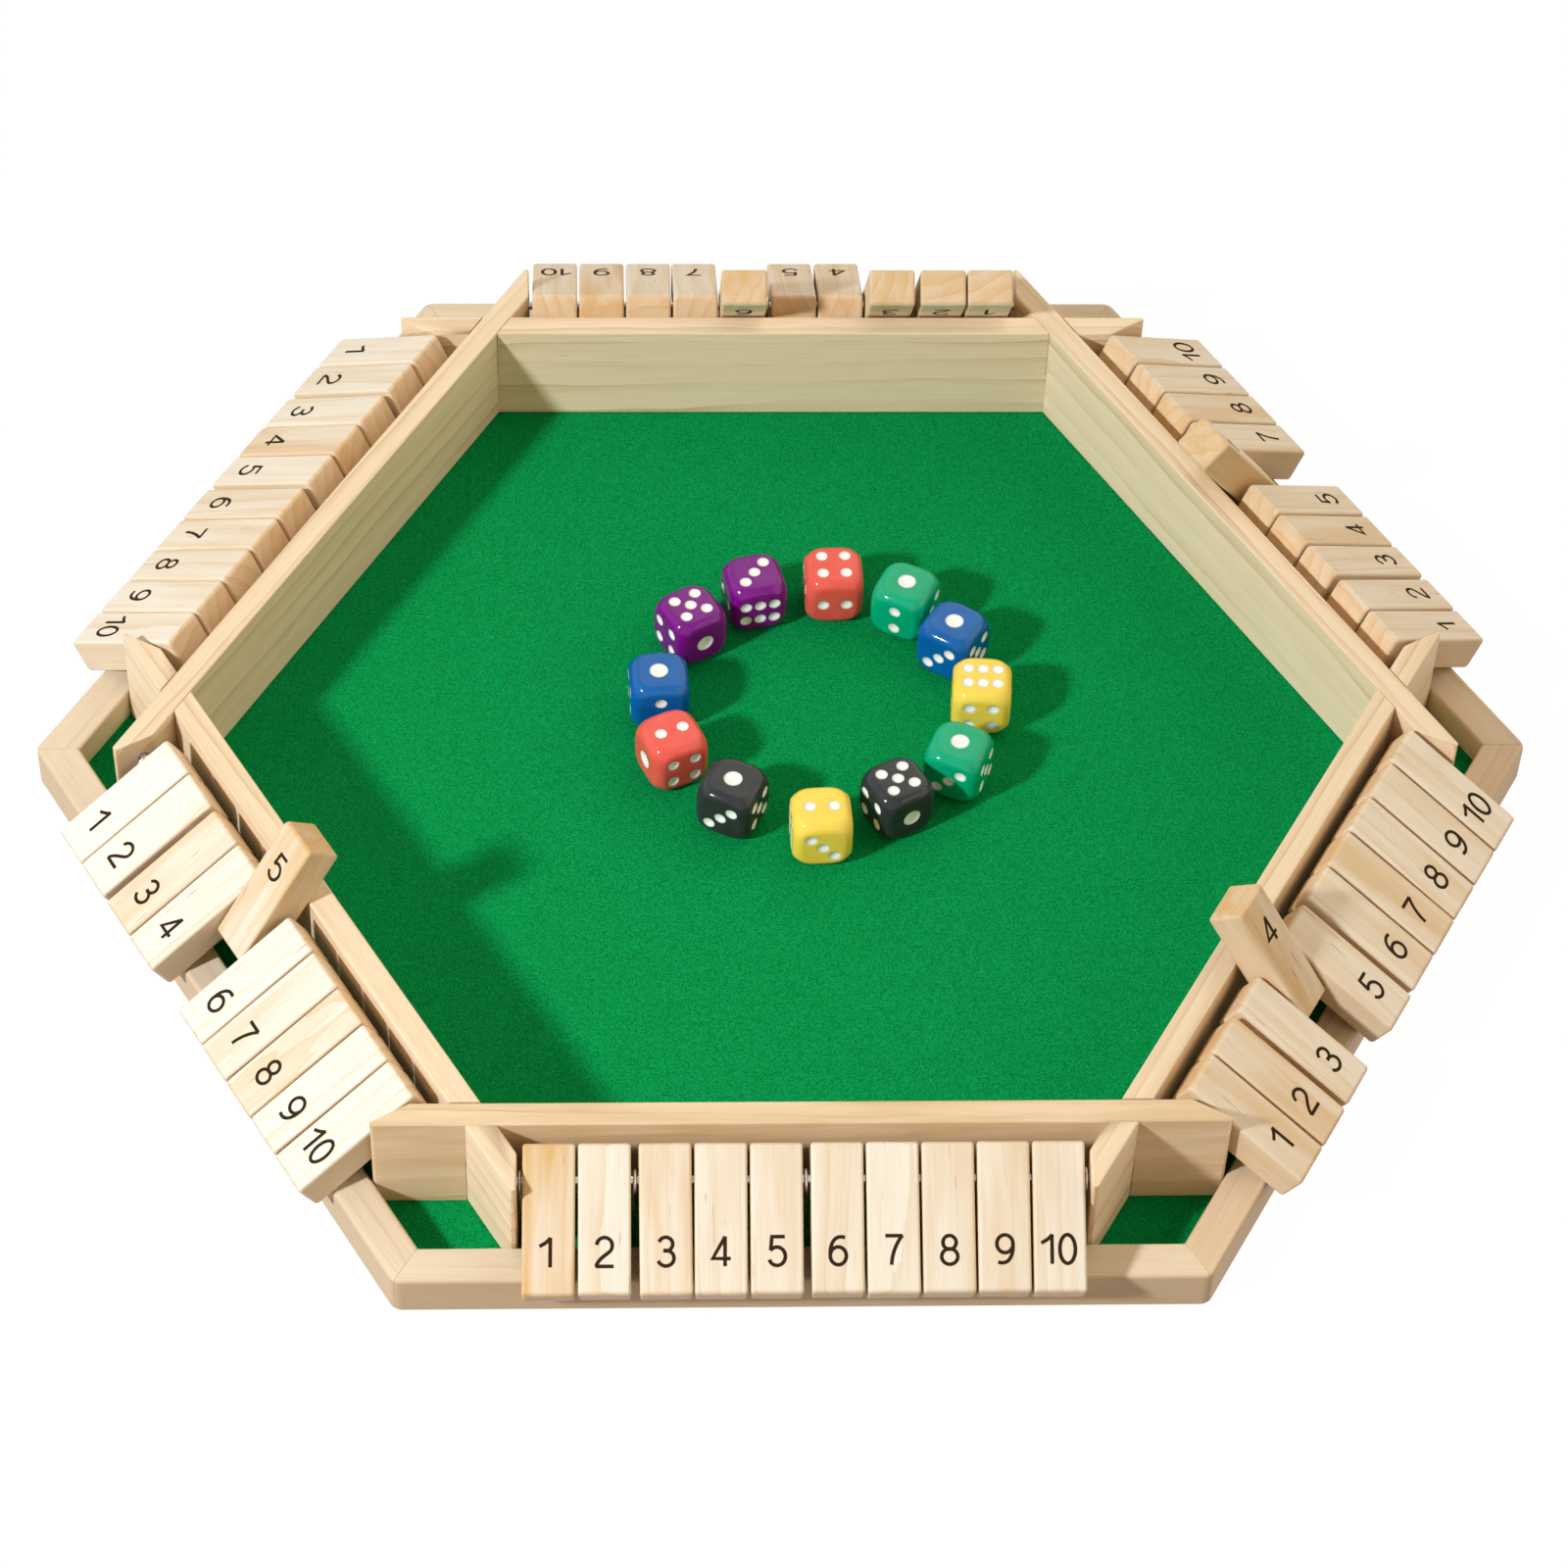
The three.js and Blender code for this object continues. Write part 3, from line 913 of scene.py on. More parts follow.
class Finishes:
    """Every finish of the game, made once."""

    def __init__(self) -> None:
        """Builds the materials."""
        self.tile = PineFinish(
            "tile_pine", pale=(241, 234, 222), late=(214, 181, 134), warm=(214, 172, 112),
            end=(216, 170, 108), ring_pitch=3.6, ring_strength=0.55, fleck_low=0.735,
        ).material()
        self.wall = PineFinish(
            "wall_pine", pale=(240, 218, 188), late=(200, 164, 116), warm=(212, 180, 138),
            end=(206, 166, 120), ring_pitch=3.4, ring_strength=0.78, fleck_low=0.78, wander=3.0,
        ).material()
        self.rail = PineFinish(
            "rail_pine", pale=(232, 215, 190), late=(202, 170, 134), warm=(221, 191, 156),
            end=(206, 166, 124), ring_pitch=3.0, ring_strength=0.45, fleck_low=0.77, wander=3.0,
        ).material()
        self.plywood = PlywoodFinish().material()
        self.felt = FeltFinish().material()
        self.steel = SteelFinish().material()
        self.ink = InkFinish().material()
        self.dice = {
            name: DieFinish("die_" + name, body, swirl).material()
            for name, (body, swirl) in DIE_COLOURS.items()
        }


@dataclass
class Base:
    """The base panel and the felt that covers it, both let into the rail's rebate."""

    finishes: Finishes
    nap_top: float = 2.98 * MM
    wave: float = 0.03 * MM
    wave_rates: tuple[float, float, float] = (0.31, 0.27, 0.93)
    bend_rates: tuple[float, float] = (0.07, 0.05)
    bend: float = 2.0
    rounding: float = 0.25 * MM
    rings: int = 96

    @property
    def apothem(self) -> float:
        """From the middle to the felt's edge, under the rail."""
        return BOARD.rail_inner + BOARD.rebate - BOARD.fit_gap

    def swell(self, x: np.ndarray, y: np.ndarray) -> np.ndarray:
        """How far the felt rises at places in millimetres: two bent waves and a slanting one."""
        rates, bends = self.wave_rates, self.bend_rates
        along = np.sin(x * rates[0] + self.bend * np.sin(y * bends[0]))
        across = np.sin(y * rates[1] + self.bend * np.sin(x * bends[1]))
        return (along + across + np.sin((x + y) * rates[2])) * self.wave / 3

    def felt_skin(self) -> Skin:
        """The felt as a closed skin: equal triangles on top, fans down the edges, a flat underside.

        The top's points are whole steps along two directions one side's angle apart. A point is
        kept while each of its steps and their sum stay within the number of rings. The outermost
        ring lies lower, where the nap rounds over.
        """
        rings = self.rings
        along, across = np.mgrid[-rings:rings + 1, -rings:rings + 1]
        ring = np.maximum(np.maximum(np.abs(along), np.abs(across)), np.abs(along + across))
        kept = ring <= rings
        number = np.where(kept, np.cumsum(kept).reshape(kept.shape) - 1, -1)
        directions = np.array([[1, 0], [math.cos(SIDE_ANGLE), math.sin(SIDE_ANGLE)]])
        reach = self.apothem / math.cos(SIDE_ANGLE / 2)
        flat = np.stack([along[kept], across[kept]], -1) @ directions * (reach / rings)
        height = self.nap_top + self.swell(*flat.T / MM) - self.rounding * (ring[kept] == rings)
        near, right, left, far = number[:-1, :-1], number[1:, :-1], number[:-1, 1:], number[1:, 1:]
        halves = (near, right, left), (right, far, left)
        triangles = np.concatenate([np.stack(half, -1).reshape(-1, 3) for half in halves])
        faces = triangles[(triangles >= 0).all(1)].tolist()
        corners = np.array([[1, 0], [0, 1], [-1, 1], [-1, 0], [0, -1], [1, -1]])
        total = len(flat)
        for side in range(SIDES):
            following = (side + 1) % SIDES
            way = corners[following] - corners[side]
            steps = rings * corners[side] + np.arange(rings + 1)[:, None] * way
            edge = number[tuple((steps + rings).T)].tolist()
            faces += [[total + side, after, before] for before, after in zip(edge, edge[1:])]
            faces.append([total + side, total + following, edge[-1]])
        faces.append(list(range(total + SIDES - 1, total - 1, -1)))
        points = np.concatenate([flat, corners @ directions * reach])
        levels = np.concatenate([height, np.full(SIDES, BOARD.base_top)])
        return Skin(np.column_stack([points, levels]), faces)

    def build(self) -> None:
        """Makes the felt and dresses the base panel."""
        piece = Piece("felt_cloth", [self.felt_skin()], [self.finishes.felt])
        felt = piece.make("board", "felt")
        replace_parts(felt, "felt")
        panel = frame["nodes"]["base_panel"]
        panel.data.materials.clear()
        panel.data.materials.append(self.finishes.plywood)


@dataclass
class Rail:
    """The rail: six mitred lengths of pine with eased edges, rebated below for the base."""

    finishes: Finishes
    draw: np.random.Generator
    top_ease: float = 0.9 * MM
    foot_ease: float = 0.4 * MM
    rebate_ease: float = 0.1 * MM
    groove: float = 0.05 * MM
    joint: Range = (0.9986, 0.9998)
    ease_steps: int = 4
    corner_points: int = 6
    tones: tuple[float, ...] = (0.3, 0.9, 0.5, 0.4, 0.3, 0.3)

    def outline(self) -> np.ndarray:
        """The cross-section as apothem and height: a bar with a rebate at its inner foot."""
        outer, inner, top = BOARD.rail_outer, BOARD.rail_inner, BOARD.rail_height
        rebate_top = BOARD.felt_top + BOARD.fit_gap
        corners = np.array([
            [outer, 0], [outer, top], [inner, top], [inner, rebate_top],
            [inner + BOARD.rebate, rebate_top], [inner + BOARD.rebate, 0],
        ])
        radii = [self.foot_ease, self.top_ease, self.top_ease] + [self.rebate_ease] * 3
        return rounded_outline(corners, radii, self.ease_steps)

    def stations(self) -> tuple[np.ndarray, np.ndarray]:
        """Places along a length from mitre to mitre, and how far the outer face falls back at each.

        A place is a share of the way to the mitre. Near it the outer face follows a round corner:
        an arc about a point one radius inside both outer faces. The last two places shape the
        joint.
        """
        radius = BOARD.rail_corner
        middle = BOARD.rail_outer - radius
        angle = np.linspace(0, SIDE_ANGLE / 2, self.corner_points)
        out = middle + radius * np.cos(angle)
        share = (middle * MITRE_SLOPE + radius * np.sin(angle)) / (out * MITRE_SLOPE)
        share = np.concatenate([[0, 0.5], share[:-1], self.joint])
        fall = BOARD.rail_outer - out
        fall = np.concatenate([[0, 0], fall, fall[-1:]])
        return np.concatenate([-share[:0:-1], share]), np.concatenate([fall[:0:-1], fall])

    def length_points(self) -> np.ndarray:
        """One length in the front side's frame, as a grid of the cross-section at each place.

        The sideways place is the share times the apothem times the mitre's slope. The very ends are
        drawn in a little all round, which leaves the fine line of the joint.
        """
        outline = self.outline()
        share, fall = self.stations()
        apothem = np.broadcast_to(outline[:, 0], (len(share), len(outline))).copy()
        height = np.broadcast_to(outline[:, 1], apothem.shape).copy()
        depth = BOARD.rail_outer - BOARD.rail_inner
        apothem -= fall[:, None] * np.clip((apothem - BOARD.rail_inner) / depth, 0, 1)
        middle = outline.mean(0)
        shrink = 1 - self.groove / (depth / 2)
        for end in (0, -1):
            apothem[end] = middle[0] + (apothem[end] - middle[0]) * shrink
            height[end] = middle[1] + (height[end] - middle[1]) * shrink
        return np.stack([share[:, None] * apothem * MITRE_SLOPE, -apothem, height], -1)

    def build(self) -> None:
        """Makes the six lengths."""
        to_board = np.array([[0, 1, 0, 0], [-1, 0, 0, 0], [0, 0, 1, 0], [0, 0, 0, 1]], float)
        points = self.length_points()
        skin = Skin.of_grid(points).at(np.linalg.inv(to_board))
        # Painted shade on the rail's outer face, fading out round the top ease, where the rail
        # stands in shade.
        fallen = BOARD.rail_outer + points[..., 1] - self.stations()[1][:, None]
        planed = np.clip(1 - fallen / self.top_ease, 0, 1)
        for side in Side:
            piece = Piece(
                "rail_" + side.label, [skin], [self.finishes.rail], side.turn @ to_board,
                values={"planed": planed.ravel()},
            )
            cut = TimberCut.drawn(self.draw, Sawing.STRAIGHT, self.tones[side.value])
            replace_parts(piece.make("board", "rail_pine", cut), "rail")


@dataclass
class Walls:
    """The six lapped wall boards, with the CAD's own shape and softly sanded edges."""

    finishes: Finishes
    draw: np.random.Generator
    ease: float = 0.45 * MM
    shortest_edge: float = 3.0 * MM
    least_angle: float = math.radians(25)
    flat_angle: float = math.radians(1)
    merge: float = 1e-6
    middle: float = 122.0 * MM
    lap_reach: float = 3.4 * MM
    ease_steps: int = 3
    smooth_below: float = 40.0
    tones: tuple[float, ...] = (0.8, 0.25, 0.15, 0.08, 0.2, 0.2)

    def eased(self, node: str, side: Side) -> bpy.types.Mesh:
        """A merged copy of a CAD board, its long sharp edges rounded but not those of its laps.

        An edge is part of a lap if both its ends lie within the thickness of one crossing board.

        Args:
            node: The CAD node.
            side: The board's side.

        Returns:
            The new mesh.
        """
        def in_lap(edge: bmesh.types.BMEdge, step: int) -> bool:
            """Whether an edge lies inside the board that crosses this many sides further round."""
            away = side.turn @ turned(step * SIDE_ANGLE)
            ends = moved(np.array([list(vertex.co) for vertex in edge.verts]), np.linalg.inv(away))
            return bool((np.abs(ends[:, 1] + self.middle) < self.lap_reach).all())

        worked = bmesh.new()
        worked.from_mesh(frame["nodes"][node].data)
        bmesh.ops.remove_doubles(worked, verts=worked.verts, dist=self.merge)
        bmesh.ops.dissolve_limit(
            worked, angle_limit=self.flat_angle, verts=worked.verts, edges=worked.edges,
        )
        edges = [
            edge for edge in worked.edges
            if edge.calc_length() > self.shortest_edge
            and edge.calc_face_angle(0.0) > self.least_angle
            and not in_lap(edge, 1) and not in_lap(edge, -1)
        ]
        bmesh.ops.bevel(
            worked, geom=edges, offset=self.ease, segments=self.ease_steps, profile=0.5,
            affect="EDGES", clamp_overlap=True,
        )
        mesh = bpy.data.meshes.new(node + "_board")
        worked.to_mesh(mesh)
        worked.free()
        return mesh

    def build(self) -> None:
        """Makes the six boards."""
        across_to_board = np.array([[0, 0, 1, 0], [1, 0, 0, 0], [0, 1, 0, 0], [0, 0, 0, 1]], float)
        for side in Side:
            node = "wall_" + side.label
            mesh = self.eased(node, side)
            cut = TimberCut.drawn(self.draw, Sawing.STRAIGHT, self.tones[side.value])
            mark_grain(mesh, across_to_board @ np.linalg.inv(side.turn), cut)
            board = finished(
                node + "_board", mesh, [self.finishes.wall], "board",
                self.smooth_below,
            )
            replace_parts(board, node)


class Numeral:
    """The plain numbers 1 to 10 as strokes of one width, in a box one unit high and centred."""

    sunk = -0.06 * MM
    lowest = 0.03 * MM
    layer = 0.004 * MM
    overshoot = 0.12
    widest_bend = 0.6
    bend_points = 12
    fewest_points = 6
    degrees_apart = 12
    ten = ((1, -0.36), (0, 0.25))

    def __init__(self, height: float, stroke: float) -> None:
        """Sets the size.

        Args:
            height: From the foot to the head, in metres.
            stroke: Width of a stroke, in metres.
        """
        self.height = height
        self.stroke = stroke

    @staticmethod
    def line(*corners: tuple[float, float]) -> np.ndarray:
        """A straight or bent line through its corners."""
        return np.array(corners, float)

    @classmethod
    def arc(
        cls, middle: tuple[float, float], reach: tuple[float, float], start: float, end: float,
    ) -> np.ndarray:
        """Part of an ellipse: the middle plus the two reaches times cosine and sine.

        Args:
            middle: Its middle.
            reach: Its two half widths.
            start: First angle in degrees.
            end: Last angle in degrees.

        Returns:
            The points.
        """
        points = max(cls.fewest_points, int(abs(end - start) / cls.degrees_apart))
        angle = np.radians(np.linspace(start, end, points))
        return np.array(middle) + np.array(reach) * circle(angle)

    @classmethod
    def bend(cls, *handles: tuple[float, float]) -> np.ndarray:
        """A smooth cubic curve: four handles weighted by powers of a share and of what is left."""
        share = np.linspace(0, 1, cls.bend_points)[:, None]
        left = 1 - share
        weights = (left ** 3, 3 * left ** 2 * share, 3 * left * share ** 2, share ** 3)
        return sum(weight * np.array(handle) for weight, handle in zip(weights, handles))

    def strokes(self, digit: int) -> list[np.ndarray]:
        """The centre lines of one digit.

        Args:
            digit: From 0 to 9.

        Returns:
            One line of points for each stroke.
        """
        if digit == 0:
            return [self.arc((0, 0.5), (0.27, 0.5), 0, 360)]
        if digit == 1:
            flag = self.bend((0.07, 1), (0.0, 0.89), (-0.12, 0.8), (-0.29, 0.72))
            return [self.line((0.07, 0), (0.07, 1)), flag]
        if digit == 2:
            head = self.arc((0, 0.72), (0.27, 0.28), 172, -38)
            tail = self.bend(tuple(head[-1]), (0.08, 0.4), (-0.22, 0.27), (-0.29, 0.0))
            return [np.concatenate([head, tail[1:]]), self.line((-0.29, 0), (0.3, 0))]
        if digit == 3:
            head = self.arc((-0.01, 0.76), (0.24, 0.24), 158, -90)
            bowl = self.arc((-0.01, 0.27), (0.28, 0.27), 90, -158)
            upper = np.concatenate([head, self.line((-0.08, 0.53))])
            return [upper, np.concatenate([self.line((-0.08, 0.54)), bowl])]
        if digit == 4:
            slope = self.line((0.13, 1), (-0.3, 0.25), (0.31, 0.25))
            return [self.line((0.13, 0), (0.13, 1)), slope]
        if digit == 5:
            bowl = self.arc((-0.01, 0.32), (0.29, 0.32), 138, -156)
            return [self.line((0.25, 1), (-0.18, 1), tuple(bowl[0])), bowl]
        if digit == 6:
            bowl = self.arc((0.0, 0.31), (0.28, 0.31), 0, 360)
            return [bowl, self.bend((-0.28, 0.33), (-0.29, 0.74), (-0.12, 1.06), (0.23, 0.95))]
        if digit == 7:
            leg = self.bend((0.29, 1), (0.08, 0.74), (-0.07, 0.38), (-0.09, 0))
            return [self.line((-0.28, 1), (0.29, 1)), leg]
        if digit == 8:
            head = self.arc((0, 0.76), (0.23, 0.24), 90, 450)
            return [head, self.arc((0, 0.27), (0.28, 0.27), 90, 450)]
        return [-stroke + np.array([0, 1]) for stroke in self.strokes(6)]

    def ribbon(self, line: np.ndarray, level: float) -> Skin:
        """A flat ribbon of ink along a centre line.

        At each point the ribbon is half a stroke wide to both sides of the line's direction, which
        is the mean of the pieces before and after it. Where the line bends it is wider, so that
        its edges stay even.

        Args:
            line: The centre line, n by 2, in metres.
            level: How far the ink stands above the wood, in metres.

        Returns:
            The ribbon as a closed skin, with the wood's face at z = 0.
        """
        closed = bool(np.allclose(line[0], line[-1]))
        if closed:
            line = line[:-1]
        ahead = np.roll(line, -1, 0) - line
        if not closed:
            ahead[-1] = ahead[-2]
        ahead /= np.linalg.norm(ahead, axis=1, keepdims=True)
        behind = np.roll(ahead, 1, 0)
        if not closed:
            behind[0] = ahead[0]
        along = ahead + behind
        along /= np.linalg.norm(along, axis=1, keepdims=True)
        widen = 1 / np.clip((along * ahead).sum(1), self.widest_bend, 1)
        side = np.stack([-along[:, 1], along[:, 0]], -1) * (self.stroke / 2 * widen)[:, None]
        if not closed:
            line = line.copy()
            line[0] -= ahead[0] * self.stroke * self.overshoot
            line[-1] += ahead[-1] * self.stroke * self.overshoot
        left, right = line + side, line - side
        corners = [(left, self.sunk), (left, level), (right, level), (right, self.sunk)]
        grid = np.stack([np.insert(flat, 2, z, axis=1) for flat, z in corners], 1)
        return Skin.of_grid(grid, ring=closed, finish=1)

    def skins(self, number: int) -> list[Skin]:
        """The ink of a whole number, centred, with the wood's face at z = 0.

        Args:
            number: From 1 to 10.

        Returns:
            A skin for each stroke. Strokes that meet differ in level by a hair.
        """
        scale = self.height - self.stroke
        made = []
        for digit, offset in ((number, 0.0),) if number < 10 else self.ten:
            for stroke in self.strokes(digit):
                line = (stroke + np.array([offset, -0.5])) * scale
                made.append(self.ribbon(line, self.lowest + self.layer * len(made)))
        return made


@dataclass(frozen=True)
class Row:
    """One player's row of tiles.

    The tones of its wood go from 0 for the palest to 1 for the warmest, from tile 1 on. The slid
    share says how far the tiles have slid towards tile 10, of the way that they can.
    """

    side: Side
    tones: tuple[float, ...]
    shut: tuple[int, ...] = ()
    on_rod: tuple[int, ...] = ()
    slid: float = 0.0


ROWS = (
    Row(Side.FRONT, (1.0, 0.22, 0.62, 0.36, 0.4, 0.34, 0.16, 0.44, 0.48, 0.4)),
    Row(
        Side.FRONT_RIGHT, (0.72, 0.8, 0.5, 0.9, 0.5, 0.55, 0.65, 0.5, 0.45, 0.45),
        shut=(4,), on_rod=(10,),
    ),
    Row(
        Side.BACK_RIGHT, (0.4, 0.45, 0.35, 0.6, 0.45, 0.85, 0.5, 0.7, 0.35, 0.4),
        shut=(6,), on_rod=(1, 2, 3, 4, 5, 7, 8, 9, 10),
    ),
    Row(
        Side.BACK, (0.45, 0.5, 0.65, 0.6, 0.65, 0.75, 0.45, 0.5, 0.8, 0.5),
        shut=(1, 2, 3, 6), on_rod=(4, 5, 7, 8, 9, 10), slid=0.3,
    ),
    Row(
        Side.BACK_LEFT, (0.3, 0.35, 0.28, 0.65, 0.3, 0.45, 0.5, 0.3, 0.35, 0.2),
        on_rod=tuple(range(1, 11)),
    ),
    Row(
        Side.FRONT_LEFT, (0.0, 0.05, 0.55, 0.12, 0.8, 0.05, 0.15, 0.38, 0.1, 0.06),
        shut=(5,), on_rod=(10,), slid=0.9,
    ),
)


@dataclass(frozen=True)
class Spacing:
    """How the tiles of a row are spaced along their rod."""

    width: float = 11.2 * MM
    gap: float = 0.6 * MM
    wide_gap: float = 1.7 * MM
    wide_gap_after: tuple[int, ...] = (2, 5)
    end_room: float = 1.2 * MM
    play: float = 0.24 * MM
    count: int = 10

    def centres(self, slid: float = 0.0) -> np.ndarray:
        """The middle of each tile along its row.

        A tile slides by the end room and by the play of every later tile.

        Args:
            slid: How far the row has slid, of the way that it can.

        Returns:
            One place for each tile.
        """
        wide = np.isin(np.arange(1, self.count), self.wide_gap_after)
        steps = np.where(wide, self.wide_gap, self.gap) + self.width
        centre = np.concatenate([[0], np.cumsum(steps)])
        later = np.arange(self.count)[::-1]
        return centre - centre[-1] / 2 + slid * (self.end_room - BOARD.fit_gap + later * self.play)


@dataclass
class Tiles:
    """The sixty numbered tiles, and the rods that they turn on."""

    finishes: Finishes
    draw: np.random.Generator
    spacing: Spacing = Spacing()
    length: float = 33.0 * MM
    thickness: float = 9.0 * MM
    behind_rod: float = 7.5 * MM
    end_radius: float = 1.15 * MM
    edge_radius: float = 0.75 * MM
    bore_radius: float = 1.3 * MM
    number_from_rod: float = 15.9 * MM
    play: float = 0.1 * MM
    skew: float = 0.007
    shrink: tuple[float, float] = (0.0102, 0.019)
    # How much painted shade darkens the tiles' side faces.
    planed: float = 0.6
    arc_steps: int = 5
    side_steps: int = 8
    edge_points: int = 6
    face_rows: tuple[float, float] = (0.3, 0.65)
    top_rows: tuple[float, float] = (-0.4, 0.4)
    rod_dome: float = 0.4 * MM
    dome_points: int = 4
    rod_sides: int = 20
    numeral: Numeral = field(default_factory=lambda: Numeral(height=6.9 * MM, stroke=0.79 * MM))

    def block(self) -> Skin:
        """One bored tile as a ring of rows, in its rod's frame with the free end towards -Y.

        A column follows the side view's rounded outline. The rows go from the bore out over one
        side face, round the edge, across the width, and back in over the other side face to the
        bore. On the side faces a row lies a share of the way from the bore to the outline, and
        round the edge it is the outline drawn in by the rounding.
        """
        inner, outer, half = self.behind_rod, self.behind_rod - self.length, self.thickness / 2
        corners = np.array([[outer, -half], [inner, -half], [inner, half], [outer, half]])

        def outline(inset: float) -> np.ndarray:
            """The side view, drawn in all round, with points spread evenly by angle.

            On a straight side, a point lies where its ray from the rod meets the side: the cross
            product of the side's start and way, over that of the ray and the way.
            """
            drawn = corners + inset * np.array([[1, 1], [-1, 1], [-1, -1], [1, -1]])
            arcs = rounded_outline(drawn, [self.end_radius - inset] * 4, self.arc_steps)
            arcs = arcs.reshape(4, self.arc_steps + 1, 2)
            filled = []
            for arc, following in zip(arcs, np.roll(arcs, -1, 0)):
                start, way = arc[-1], following[0] - arc[-1]
                first, last = (math.atan2(y, x) for x, y in (start, following[0]))
                share = np.linspace(0, 1, self.side_steps + 1)[1:-1]
                angle = first + ((last - first) % math.tau) * share
                ray = circle(angle)
                reach = (start[0] * way[1] - start[1] * way[0]) / (ray @ [way[1], -way[0]])
                filled += [arc, reach[:, None] * ray]
            return np.concatenate(filled)

        flat = outline(self.edge_radius)
        hole = self.bore_radius * flat / np.linalg.norm(flat, axis=1, keepdims=True)
        half_width = self.spacing.width / 2
        rows = [(hole, 0.0), (hole, -half_width)]
        rows += [(hole + share * (flat - hole), -half_width) for share in self.face_rows]
        for angle in np.linspace(0, math.pi / 2, self.edge_points):
            drawn_in = self.edge_radius * (1 - math.sin(angle))
            rows.append((outline(drawn_in), -half_width + self.edge_radius * (1 - math.cos(angle))))
        mirrored = [(row, -x) for row, x in rows[:0:-1]]
        rows += [(outline(0.0), share * half_width) for share in self.top_rows]
        grid = np.stack([np.insert(row, 0, x, axis=1) for row, x in rows + mirrored])
        return Skin.of_grid(grid, ring=True)

    def inked(self, number: int) -> list[Skin]:
        """The number on both broad faces.

        On the upper face its head points to the rod. The lower face is the upper one turned half
        round the rod's direction, so there the head points to the free end.
        """
        half = self.thickness / 2
        up = shifted(0, -self.number_from_rod, half)
        down = shifted(0, -self.number_from_rod, -half) @ turned(math.pi, "X")
        skins = self.numeral.skins(number)
        return [skin.at(up) for skin in skins] + [skin.at(down) for skin in skins]

    def tile(self, row: Row, number: int, node: str) -> None:
        """Makes one tile.

        Args:
            row: Its row.
            number: From 1 to 10.
            node: The CAD node that it stands for, whose body it moves with.
        """
        along = float(self.spacing.centres(row.slid)[number - 1])
        stance = Stance.SHUT if number in row.shut else Stance.OPEN
        tilt = turned(math.radians(stance.value), "X")
        cut = TimberCut.drawn(self.draw, Sawing.MIXED, row.tones[number - 1])
        low, high = [0, -self.skew, self.shrink[0]], [self.play, self.skew, self.shrink[1]]
        play, skew, shrink = self.draw.uniform(low, high)
        seated = shifted(0, play, 0) @ turned(skew)
        skins = [self.block().at(np.diag([1, 1 - shrink, 1, 1])), *self.inked(number)]
        # Painted shade on the side faces, where the tiles shade each other, fading out over the
        # edge rounding.
        x = np.concatenate([skin.points[:, 0] for skin in skins])
        from_side = self.spacing.width / 2 - np.abs(x)
        piece = Piece(
            f"pine_tile_{row.side.label}_{number}", skins, [self.finishes.tile, self.finishes.ink],
            row.side.rod @ shifted(along, 0, 0) @ tilt @ seated, smooth_below=35.0,
            values={"planed": self.planed * np.clip(1 - 2 * from_side / self.edge_radius, 0, 1)},
        )
        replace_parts(piece.make(node, "tile_pine", cut), node)

    def rod(self, side: Side, body: str, node: str) -> None:
        """Makes a row's rod: a round bar whose ends are domed by a quarter circle.

        Args:
            side: Its row.
            body: The CAD body that it moves with.
            node: The CAD node that it stands for.
        """
        angle = np.linspace(math.pi / 2, 0, self.dome_points)
        dome = self.rod_dome * (1 - np.stack([np.sin(angle), np.cos(angle)]))
        half = BOARD.rod_half_length
        x = np.concatenate([dome[0] - half, [0], half - dome[0, ::-1]])
        radius = BOARD.rod_radius - np.concatenate([dome[1], [0], dome[1, ::-1]])
        around = np.insert(circle(full_turn(self.rod_sides)), 0, 1, axis=1)
        grid = around * np.stack([x, radius, radius], -1)[:, None]
        name = "steel_rod_" + side.label
        piece = Piece(name, [Skin.of_grid(grid)], [self.finishes.steel], side.rod)
        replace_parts(piece.make(body, "steel"), node)

    def build(self) -> None:
        """Makes every row."""
        for row in ROWS:
            label = row.side.label
            rod_node = f"rod_{label}" + ("_with_tiles" if row.on_rod else "")
            self.rod(row.side, rod_node if row.on_rod else "board", rod_node)
            for number in range(1, self.spacing.count + 1):
                node = rod_node if number in row.on_rod else f"tile_{label}_{number}"
                self.tile(row, number, node)


